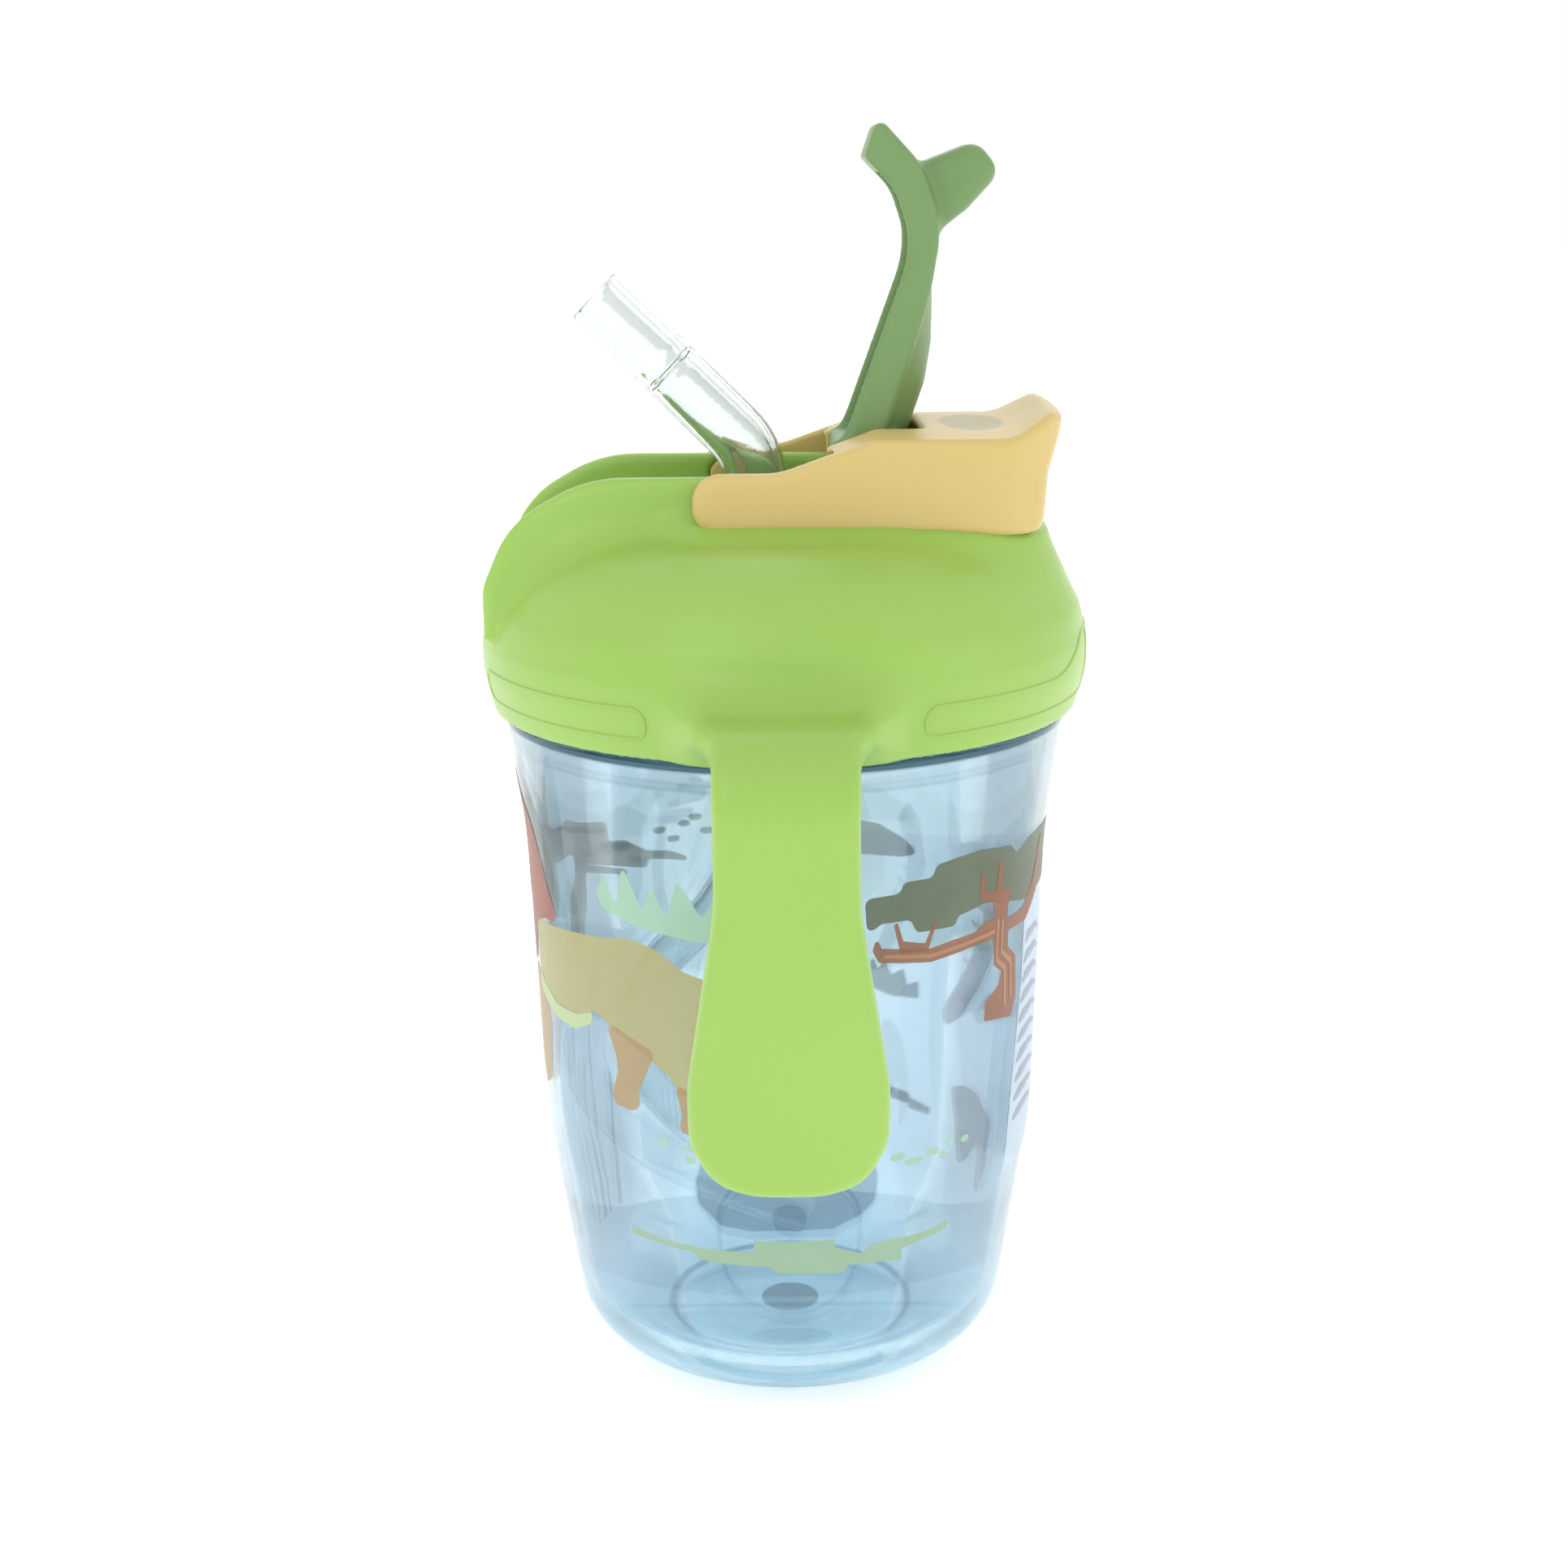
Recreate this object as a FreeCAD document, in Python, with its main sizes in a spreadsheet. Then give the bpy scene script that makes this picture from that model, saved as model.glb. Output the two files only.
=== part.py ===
"""Twin-handled flip-straw training cup, in millimetres.

The origin is the centre of the base on the table, +Z is up.  The straw channel runs
along X with the straw's mouth towards -X, and the two handles stand at -Y and +Y.
The cover stands open and the cup is screwed shut, as it is handed to a child.
"""
import FreeCAD, Part
import math
import os
from types import SimpleNamespace

import Sketcher

Vector = FreeCAD.Vector
doc = FreeCAD.newDocument("straw_cup")

# ---------------------------------------------------------------------- driving sizes
SIZES = [
    # tumbler
    ("lid_edge_height", 91.0), ("base_radius", 19.0), ("foot_round", 8.0),
    ("heel_radius", 28.7), ("heel_height", 5.7), ("heel_round", 9.0),
    ("belly_radius", 33.0), ("belly_height", 33.5), ("waist_radius", 34.4),
    ("waist_height", 74.0), ("side_round", 60.0), ("shoulder_radius", 36.8),
    ("shoulder_gap", 0.4), ("tumbler_wall", 1.8), ("floor_height", 4.6),
    ("recess_radius", 14.0), ("recess_depth", 1.8), ("neck_radius", 33.6),
    ("neck_height", 10.0),
    # screw thread, two starts
    ("thread_lead", 6.0), ("thread_depth", 1.1), ("thread_width", 1.1),
    ("thread_run", 5.0), ("thread_start", 1.6), ("thread_gap", 0.4),
    # lid shell
    ("collar_foot_radius", 38.0), ("collar_radius", 39.3), ("collar_low", 5.5),
    ("collar_high", 9.0), ("dome_edge_radius", 38.3), ("dome_edge_height", 13.2),
    ("dome_slope_radius", 34.6), ("dome_slope_height", 19.2), ("dome_crown_radius", 28.0),
    ("dome_crown_height", 23.2), ("deck_height", 24.1), ("lid_wall", 1.9),
    ("skirt_inner_radius", 36.0), ("plug_radius", 31.4), ("plug_wall", 1.6),
    ("plug_foot", 1.0), ("shelf_height", 11.5),
    # rails and the straw trough between them
    ("rail_inner", 11.5), ("rail_outer", 14.5), ("rail_top", 30.6), ("rail_end", 14.0),
    ("rail_bend_x", 24.5), ("rail_slope_x", 34.2), ("rail_slope_height", 25.0),
    ("nose_x", 37.7), ("nose_top", 17.0), ("nose_foot", 10.4), ("rail_bend_round", 16.0),
    ("trough_floor", 21.0), ("trough_break_x", 12.0), ("trough_low_x", 31.5),
    ("trough_low", 13.2), ("nose_wall_x", 35.8), ("trough_skin", 1.6),
    # pedestal under the hinge frame
    ("pedestal_x", 8.0), ("pedestal_end", 33.0), ("pedestal_half", 17.2),
    ("pedestal_wall", 6.0), ("pedestal_drop", 0.5),
    # handles
    ("handle_root_half", 13.0), ("handle_root_top", 9.0), ("handle_neck_half", 8.2),
    ("handle_neck_height", -1.0), ("handle_waist_height", -12.0),
    ("handle_paddle_half", 11.5), ("handle_paddle_height", -34.0),
    ("handle_tip_height", -48.0), ("handle_tip_round", 10.6), ("handle_reach", 57.6),
    ("handle_thickness", 4.5), ("handle_shoulder_height", 7.0), ("handle_tip_reach", 54.2),
    ("handle_elbow_round", 15.0), ("handle_side_height", -22.0),
    # straw seat, spout and dip tube
    ("straw_x", -2.5), ("straw_radius", 4.0), ("straw_bore", 2.7), ("seat_clearance", 0.1),
    ("seat_top", 24.0), ("flange_radius", 8.0), ("flange_thickness", 2.0),
    ("socket_foot", 8.0), ("socket_radius", 4.4), ("tube_radius", 2.8), ("tube_bore", 1.9),
    ("socket_clearance", 0.05), ("tube_top", 16.4),
    ("spout_tip_x", -23.8), ("spout_tip_height", 52.1), ("spout_lean", 46.5),
    ("spout_length", 23.0), ("spout_ridge", 0.45), ("spout_ridge_place", 9.0),
    ("spout_end_wall", 1.4), ("spout_slit", 0.5),
    # yellow hinge frame
    ("frame_half", 17.8), ("arm_inner", 14.7), ("arm_foot", 23.8), ("arm_top", 31.3),
    ("arm_end_x", -11.2), ("arm_end_round", 3.3), ("frame_slope_x", -0.5),
    ("frame_corner_x", 11.4), ("frame_top", 36.2), ("frame_lip_x", 30.0),
    ("lip_top_x", 33.4), ("lip_top", 38.8), ("lip_tip_x", 35.3), ("lip_tip", 36.7),
    ("frame_back_x", 33.4), ("corner_round", 11.0), ("frame_skin", 1.9),
    ("slot_half", 8.4), ("slot_end_x", 17.2), ("cheek_half", 11.2), ("cheek_round", 3.4),
    ("boss_x", -7.8), ("boss_height", 27.9),
    ("boss_radius", 2.0), ("boss_clearance", 0.08), ("dimple_x", 24.1),
    ("dimple_radius", 4.0), ("dimple_depth", 0.7),
    # flip cover
    ("hinge_x", 9.2), ("hinge_height", 28.6), ("trunnion_radius", 1.65),
    ("trunnion_reach", 11.0), ("hinge_clearance", 0.08), ("barrel_radius", 3.1),
    ("cover_half", 8.0), ("cover_wall", 1.5), ("cover_spine", 1.7),
    ("cover_foot_x", 7.2), ("cover_foot_height", 34.0), ("cover_heel_x", 15.9),
    ("cover_heel_height", 34.4), ("cover_elbow_x", 15.0), ("cover_elbow_height", 59.6),
    ("cover_back_x", 19.4), ("cover_back_height", 60.0), ("cover_tip_x", 10.2),
    ("cover_tip_height", 68.7), ("cover_top_x", 11.9), ("cover_top_height", 73.6),
    ("tab_half", 5.0), ("tab_notch_x", 17.0), ("tab_notch_height", 68.3),
    ("tab_top_x", 24.4), ("tab_top_height", 70.6), ("tab_tip_x", 27.4),
    ("tab_tip_height", 66.4), ("tab_root_x", 20.0), ("tab_root_height", 60.2),
    # seal and vent valve
    ("seal_inner", 31.7), ("seal_outer", 35.6), ("seal_gap", 0.1),
    ("vent_x", 22.0), ("vent_hole", 1.7), ("vent_head", 3.2), ("vent_head_depth", 1.0),
    ("vent_lip", 2.3), ("vent_grip", 2.8), ("vent_drop", 4.5), ("vent_clearance", 0.05),
]

sheet = doc.addObject("Spreadsheet::Sheet", "sizes")
for row, (alias, number) in enumerate(SIZES, start=1):
    sheet.set(f"A{row}", alias)
    sheet.set(f"B{row}", str(number))
    sheet.setAlias(f"B{row}", alias)
doc.recompute()


class Size:
    """A size that carries its value and the sheet formula that gives it."""

    def __init__(self, value, formula):
        self.value = value
        self.formula = formula

    def joined(self, other, sign):
        other = as_size(other)
        results = {"+": self.value + other.value, "-": self.value - other.value,
                   "*": self.value * other.value}
        return Size(results[sign], f"({self.formula} {sign} {other.formula})")

    def __add__(self, other):
        return self.joined(other, "+")

    def __sub__(self, other):
        return self.joined(other, "-")

    def __mul__(self, other):
        return self.joined(other, "*")

    def __neg__(self):
        return Size(-self.value, f"(0 - {self.formula})")


def as_size(entry):
    return entry if isinstance(entry, Size) else Size(float(entry), f"{entry}")


cup = SimpleNamespace(**{alias: Size(number, f"sizes.{alias}") for alias, number in SIZES})
edge = cup.lid_edge_height


def lift(height):
    """A height above the lid's lower edge, as a height above the table."""
    return edge + height


# ------------------------------------------------------------------- drawing helpers
def new_body(name):
    return doc.addObject("PartDesign::Body", name)


def new_sketch(body, name, plane, offset=None):
    """A sketch on one of the body's own origin planes, moved along its normal by offset."""
    sketch = body.newObject("Sketcher::SketchObject", name)
    role = f"{plane}_Plane"
    support = [item for item in body.Origin.OriginFeatures if item.Role == role][0]
    sketch.AttachmentSupport = (support, "")
    sketch.MapMode = "FlatFace"
    if offset is not None:
        sketch.setExpression("AttachmentOffset.Base.z", offset.formula)
    return sketch


def pin(sketch, kind, geometry, place, size):
    """Hold one point of the sketch at a distance from the origin, bound to the sheet."""
    size = as_size(size)
    if size.value == 0:
        axis = -2 if kind == "DistanceX" else -1
        sketch.addConstraint(Sketcher.Constraint("PointOnObject", geometry, place, axis))
        return
    index = sketch.addConstraint(
        Sketcher.Constraint(kind, -1, 1, geometry, place, size.value))
    sketch.setExpression(f"Constraints[{index}]", size.formula)


def outline(sketch, corners, closed=True):
    """Straight sides between corners, each (across, up) or (across, up, round)."""
    count = len(corners)
    points = [Vector(as_size(c[0]).value, as_size(c[1]).value, 0) for c in corners]
    arrive, leave = list(points), list(points)
    arcs = {}
    for k, corner in enumerate(corners):
        if len(corner) == 3:
            back = (points[k - 1] - points[k]).normalize()
            ahead = (points[(k + 1) % count] - points[k]).normalize()
            half = back.getAngle(ahead) / 2
            radius = as_size(corner[2]).value
            arrive[k] = points[k] + back * (radius / math.tan(half))
            leave[k] = points[k] + ahead * (radius / math.tan(half))
            middle = (back + ahead).normalize()
            centre = points[k] + middle * (radius / math.sin(half))
            left_turn = back.y * ahead.x - back.x * ahead.y > 0
            first, last = (arrive[k], leave[k]) if left_turn else (leave[k], arrive[k])
            start = math.atan2(first.y - centre.y, first.x - centre.x)
            sweep = (math.atan2(last.y - centre.y, last.x - centre.x) - start) % (2 * math.pi)
            circle = Part.Circle(centre, Vector(0, 0, 1), radius)
            arc = sketch.addGeometry(Part.ArcOfCircle(circle, start, start + sweep))
            arcs[k] = (arc, 1 if left_turn else 2, 2 if left_turn else 1)
    sides = {}
    for k in range(count if closed else count - 1):
        sides[k] = sketch.addGeometry(Part.LineSegment(leave[k], arrive[(k + 1) % count]))
    for k, corner in enumerate(corners):
        before, after = sides.get((k - 1) % count), sides.get(k)
        if k in arcs:
            arc, arc_in, arc_out = arcs[k]
            sketch.addConstraint(Sketcher.Constraint("Tangent", before, 2, arc, arc_in))
            sketch.addConstraint(Sketcher.Constraint("Tangent", arc, arc_out, after, 1))
            size = as_size(corner[2])
            index = sketch.addConstraint(Sketcher.Constraint("Radius", arc, size.value))
            sketch.setExpression(f"Constraints[{index}]", size.formula)
            held = sketch.addGeometry(Part.Point(points[k]), True)
            sketch.addConstraint(Sketcher.Constraint("PointOnObject", held, 1, before))
            sketch.addConstraint(Sketcher.Constraint("PointOnObject", held, 1, after))
            pin(sketch, "DistanceX", held, 1, corner[0])
            pin(sketch, "DistanceY", held, 1, corner[1])
        else:
            if before is not None and after is not None:
                sketch.addConstraint(Sketcher.Constraint("Coincident", before, 2, after, 1))
            side, place = (after, 1) if after is not None else (before, 2)
            pin(sketch, "DistanceX", side, place, corner[0])
            pin(sketch, "DistanceY", side, place, corner[1])


def ring(sketch, across, up, radius):
    """A circle whose centre and radius are bound to the sheet."""
    across, up, radius = as_size(across), as_size(up), as_size(radius)
    circle = sketch.addGeometry(
        Part.Circle(Vector(across.value, up.value, 0), Vector(0, 0, 1), radius.value))
    pin(sketch, "DistanceX", circle, 3, across)
    pin(sketch, "DistanceY", circle, 3, up)
    index = sketch.addConstraint(Sketcher.Constraint("Radius", circle, radius.value))
    sketch.setExpression(f"Constraints[{index}]", radius.formula)


def turned(body, name, corners, groove=False):
    """Material or a hollow turned about the body's Z axis from an outline in XZ."""
    sketch = new_sketch(body, f"{name}_outline", "XZ")
    outline(sketch, corners)
    kind = "PartDesign::Groove" if groove else "PartDesign::Revolution"
    feature = body.newObject(kind, name)
    feature.Profile = sketch
    feature.ReferenceAxis = (sketch, ["V_Axis"])
    feature.Angle = 360
    return feature


def slab(body, name, plane, depth, corners=None, circle=None, cut=False, offset=None):
    """A pad or pocket that spreads evenly to both sides of a plane."""
    sketch = new_sketch(body, f"{name}_outline", plane, offset)
    if corners is not None:
        outline(sketch, corners)
    if circle is not None:
        ring(sketch, *circle)
    feature = body.newObject("PartDesign::Pocket" if cut else "PartDesign::Pad", name)
    feature.Profile = sketch
    feature.SideType = "Symmetric"
    feature.setExpression("Length", as_size(depth).formula)
    return feature


def combined(kind, name, **links):
    """A Part boolean of finished objects."""
    result = doc.addObject(f"Part::{kind}", name)
    for link, target in links.items():
        setattr(result, link, target)
    return result


# ---------------------------------------------------------------------------- tumbler
def make_tumbler():
    """Clear blown-look tumbler: thin wall, raised floor, threaded neck."""
    body = new_body("tumbler_shell")
    wall = cup.tumbler_wall
    shoulder = edge - cup.shoulder_gap
    rim = lift(cup.neck_height)
    turned(body, "tumbler_wall_turned", [
        (0, cup.recess_depth), (cup.recess_radius, cup.recess_depth),
        (cup.recess_radius + cup.recess_depth, 0), (cup.base_radius, 0, cup.foot_round),
        (cup.heel_radius, cup.heel_height, cup.heel_round),
        (cup.belly_radius, cup.belly_height, cup.side_round),
        (cup.waist_radius, cup.waist_height, cup.side_round),
        (cup.shoulder_radius, shoulder), (cup.neck_radius, shoulder),
        (cup.neck_radius, rim), (cup.neck_radius - wall, rim),
        (cup.neck_radius - wall, shoulder),
        (cup.waist_radius - wall, cup.waist_height, cup.side_round),
        (cup.belly_radius - wall, cup.belly_height, cup.side_round),
        (cup.heel_radius - wall, cup.heel_height + wall, cup.heel_round - wall),
        (cup.base_radius - wall, cup.floor_height), (0, cup.floor_height),
    ])
    ridges = [thread(f"neck_thread_{start}", cup.neck_radius, 1, cup.thread_start, start)
              for start in range(2)]
    return combined("MultiFuse", "tumbler", Shapes=[body] + ridges)


def thread(name, wall_radius, outward, start_height, start):
    """One start of the screw thread, a ridge swept along a helix on a round wall.

    The neck's ridges stand outward and the lid's stand inward, half a pitch higher.
    """
    turn = FreeCAD.Rotation(Vector(0, 0, 1), 180 * start)
    foot = lift(start_height)
    helix = doc.addObject("Part::Helix", f"{name}_helix")
    helix.setExpression("Pitch", cup.thread_lead.formula)
    helix.setExpression("Height", cup.thread_run.formula)
    helix.setExpression("Radius", wall_radius.formula)
    helix.Placement = FreeCAD.Placement(Vector(0, 0, foot.value), turn)
    sunk = wall_radius - cup.thread_gap * outward
    crest = wall_radius + cup.thread_depth * outward
    half_root = cup.thread_width * 0.5
    half_crest = cup.thread_width * 0.25
    section = doc.addObject("Sketcher::SketchObject", f"{name}_section")
    outline(section, [(sunk, -half_root), (wall_radius, -half_root), (crest, -half_crest),
                      (crest, half_crest), (wall_radius, half_root), (sunk, half_root)])
    stand_up = FreeCAD.Rotation(Vector(1, 0, 0), 90)
    section.Placement = FreeCAD.Placement(Vector(0, 0, foot.value), turn * stand_up)
    ridge = doc.addObject("Part::Sweep", name)
    ridge.Sections = [section]
    ridge.Spine = (helix, ["Edge1"])
    ridge.Solid = True
    ridge.Frenet = True
    return ridge


# -------------------------------------------------------------------------------- lid
def make_lid():
    """Lid moulding: screw collar, dome, straw trough, rails, pedestal and two handles."""
    body = new_body("lid_shell")
    shelf = lift(cup.shelf_height)
    plug_inner = cup.plug_radius - cup.plug_wall
    turned(body, "lid_dome", [
        (0, lift(cup.deck_height)), (cup.dome_crown_radius, lift(cup.dome_crown_height), 20),
        (cup.dome_slope_radius, lift(cup.dome_slope_height), 9),
        (cup.dome_edge_radius, lift(cup.dome_edge_height), 5),
        (cup.collar_radius, lift(cup.collar_high), 6),
        (cup.collar_radius, lift(cup.collar_low), 12), (cup.collar_foot_radius, edge),
        (cup.skirt_inner_radius, edge), (cup.skirt_inner_radius, shelf),
        (cup.plug_radius, shelf), (cup.plug_radius, lift(cup.plug_foot)),
        (plug_inner, lift(cup.plug_foot)), (plug_inner, lift(cup.dome_crown_height) - 3.4),
        (cup.dome_crown_radius - 2, lift(cup.dome_crown_height) - cup.lid_wall),
        (0, lift(cup.deck_height) - cup.lid_wall),
    ])
    slab(body, "rail_block", "XZ", cup.rail_outer * 2, rail_side(cup.trough_skin))
    slab(body, "straw_trough", "XZ", cup.rail_inner * 2, trough_side(), cut=True)
    pedestal_top = lift(cup.deck_height) - cup.pedestal_drop
    pedestal_foot = lift(cup.dome_slope_height) - 3
    slab(body, "pedestal", "XZ", cup.pedestal_half * 2, [
        (cup.pedestal_x, pedestal_top - 1), (cup.pedestal_x, pedestal_top),
        (cup.pedestal_end, pedestal_top), (cup.pedestal_end, pedestal_foot),
        (cup.pedestal_end - cup.pedestal_wall, pedestal_foot),
        (cup.pedestal_end - cup.pedestal_wall, pedestal_top - 1),
    ])
    slab(body, "boss_holes", "XZ", cup.rail_outer * 2 + 2, cut=True, circle=(
        cup.boss_x, lift(cup.boss_height), cup.boss_radius + cup.boss_clearance))
    slab(body, "straw_hole", "XY", 12, cut=True, offset=lift(cup.trough_floor), circle=(
        cup.straw_x, 0, cup.straw_radius + cup.seat_clearance))
    slab(body, "vent_hole", "XY", 12, cut=True, offset=lift(cup.deck_height), circle=(
        cup.vent_x, 0, cup.vent_hole + cup.vent_clearance))
    pieces = [body]
    for side in (-1, 1):
        pieces.append(make_handle(side))
    for start in range(2):
        pieces.append(thread(f"lid_thread_{start}", cup.skirt_inner_radius, -1,
                             cup.thread_start + cup.thread_lead * 0.25, start))
    return combined("MultiFuse", "lid", Shapes=pieces)


def rail_side(skin):
    """Side of the rail block: level crest, bend, steep nose, then the trough's underside."""
    return [
        (cup.rail_end, lift(cup.rail_top), 3),
        (-cup.rail_bend_x, lift(cup.rail_top), cup.rail_bend_round),
        (-cup.rail_slope_x, lift(cup.rail_slope_height), 6),
        (-cup.nose_x, lift(cup.nose_top), 3), (-cup.nose_x, lift(cup.nose_foot)),
        (-cup.skirt_inner_radius, lift(cup.nose_foot)),
        (-cup.skirt_inner_radius, lift(cup.trough_low) - skin),
        (-cup.trough_low_x, lift(cup.trough_low) - skin),
        (-cup.trough_break_x, lift(cup.trough_floor) - skin),
        (cup.rail_end, lift(cup.trough_floor) - skin),
    ]


def trough_side():
    """Side of the hollow between the rails: level at the straw, falling to the nose wall."""
    above = lift(cup.rail_top) + 4
    return [
        (-cup.nose_wall_x, lift(cup.nose_top)), (-cup.nose_wall_x, lift(cup.trough_low)),
        (-cup.trough_low_x, lift(cup.trough_low)),
        (-cup.trough_break_x, lift(cup.trough_floor)),
        (cup.rail_end + 1, lift(cup.trough_floor)), (cup.rail_end + 1, above),
        (-cup.nose_x - 4, above), (-cup.nose_x - 4, lift(cup.nose_top)),
    ]


def make_handle(side):
    """One handle: a band that leaves the collar, turns down and ends in a paddle."""
    name = "front_handle" if side < 0 else "rear_handle"
    reach, thick = cup.handle_reach * side, cup.handle_thickness * side
    root = (cup.collar_foot_radius - 0.6) * side
    band = new_body(f"{name}_band")
    slab(band, f"{name}_side", "YZ", cup.handle_root_half * 2 + 6, [
        (root, lift(cup.handle_shoulder_height)),
        (reach - side, lift(cup.handle_shoulder_height), cup.handle_elbow_round),
        (reach, lift(cup.handle_side_height), 60),
        (cup.handle_tip_reach * side, lift(cup.handle_tip_height), 2),
        (cup.handle_tip_reach * side - thick, lift(cup.handle_tip_height), 2),
        (reach - thick, lift(cup.handle_side_height), 55),
        (reach - side - thick, lift(cup.handle_shoulder_height) - cup.handle_thickness,
         cup.handle_elbow_round - cup.handle_thickness),
        (root, lift(cup.handle_shoulder_height) - cup.handle_thickness),
    ])
    face = new_body(f"{name}_face")
    right = [
        (cup.handle_root_half, lift(cup.handle_root_top)),
        (cup.handle_neck_half, lift(cup.handle_neck_height), 14),
        (cup.handle_neck_half, lift(cup.handle_waist_height), 30),
        (cup.handle_paddle_half, lift(cup.handle_paddle_height), 25),
        (cup.handle_paddle_half - 0.4, lift(cup.handle_tip_height), cup.handle_tip_round),
    ]
    left = [(-corner[0], *corner[1:]) for corner in reversed(right)]
    slab(face, f"{name}_front", "XZ", cup.handle_reach * 2 + 8, right + left)
    return combined("MultiCommon", name, Shapes=[band, face])


# ------------------------------------------------------------------ seal and vent valve
def make_lid_seal():
    """Flat silicone ring between the tumbler's rim and the lid's shelf."""
    body = new_body("lid_seal")
    low, high = lift(cup.neck_height) + cup.seal_gap, lift(cup.shelf_height) - cup.seal_gap
    turned(body, "lid_seal_ring", [
        (cup.seal_inner, low), (cup.seal_outer, low), (cup.seal_outer, high),
        (cup.seal_inner, high)])
    return body


def make_vent_valve():
    """Silicone duckbill that lets air in as the child drinks, held in a hole in the deck."""
    body = new_body("vent_valve")
    top = lift(cup.deck_height) + 0.3
    under = lift(cup.deck_height) - cup.vent_grip
    turned(body, "vent_valve_body", [
        (0, top + cup.vent_head_depth), (cup.vent_head, top + cup.vent_head_depth, 0.6),
        (cup.vent_head, top), (cup.vent_hole, top), (cup.vent_hole, under),
        (cup.vent_lip, under), (cup.vent_lip, under - 1), (0.5, under - cup.vent_drop),
        (0, under - cup.vent_drop)])
    body.Placement.Base = Vector(cup.vent_x.value, 0, 0)
    return body


# ------------------------------------------------------------------------------- straw
def make_straw_seat():
    """Root of the soft straw: flange under the trough, tube through it, socket below."""
    body = new_body("straw_seat")
    flange_top = lift(cup.trough_floor) - cup.trough_skin - cup.seat_clearance
    flange_foot = flange_top - cup.flange_thickness
    socket_bore = cup.tube_radius + cup.socket_clearance
    tube_stop = lift(cup.tube_top) + 0.1
    turned(body, "straw_seat_body", [
        (cup.straw_bore, lift(cup.seat_top)), (cup.straw_radius, lift(cup.seat_top)),
        (cup.straw_radius, flange_top), (cup.flange_radius, flange_top),
        (cup.flange_radius, flange_foot), (cup.socket_radius, flange_foot),
        (cup.socket_radius, lift(cup.socket_foot)), (socket_bore, lift(cup.socket_foot)),
        (socket_bore, tube_stop), (cup.straw_bore - 0.6, tube_stop),
        (cup.straw_bore - 0.6, tube_stop + 1)])
    body.Placement.Base = Vector(cup.straw_x.value, 0, 0)
    return body


def make_straw_spout():
    """Upper length of the soft straw, which folds into the trough; its mouth is slit."""
    body = new_body("straw_spout")
    length, radius, bore = cup.spout_length, cup.straw_radius, cup.straw_bore
    ridge = radius + cup.spout_ridge
    place = cup.spout_ridge_place
    inside = length - cup.spout_end_wall
    turned(body, "straw_spout_body", [
        (bore, 0), (radius, 0), (radius, place), (ridge, place + 0.5), (radius, place + 1),
        (radius, place + 2), (ridge, place + 2.5), (radius, place + 3),
        (radius, length, 0.8), (cup.spout_slit, length), (cup.spout_slit, inside),
        (bore, inside)])
    lean = math.radians(cup.spout_lean.value)
    foot_x = cup.spout_tip_x.value + length.value * math.sin(lean)
    foot_z = lift(cup.spout_tip_height).value - length.value * math.cos(lean)
    body.Placement = FreeCAD.Placement(
        Vector(foot_x, 0, foot_z), FreeCAD.Rotation(Vector(0, 1, 0), -cup.spout_lean.value))
    return body


def make_dip_tube():
    """Soft lower straw, pushed into the seat's socket and curled towards the floor."""
    body = new_body("dip_tube")
    spine = new_sketch(body, "dip_tube_route", "XZ")
    # across and height above the lid's edge, with the bend at each turn
    route = [(cup.straw_x, cup.tube_top), (cup.straw_x, -4.0, 40), (-6.0, -20.0, 40),
             (-10.7, -30.0, 18), (-17.2, -36.5, 14), (-21.5, -45.0, 11), (-19.8, -53.2, 12),
             (-14.0, -60.0, 16), (-6.0, -64.6, 40), (2.0, -68.0)]
    outline(spine, [(across, lift(height), *bend) for across, height, *bend in route],
            closed=False)
    section = new_sketch(body, "dip_tube_section", "XY", lift(cup.tube_top))
    ring(section, cup.straw_x, 0, cup.tube_radius)
    ring(section, cup.straw_x, 0, cup.tube_bore)
    doc.recompute()
    tube = body.newObject("PartDesign::AdditivePipe", "dip_tube_pipe")
    tube.Profile = section
    tube.Spine = (spine, [])
    return body


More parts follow.
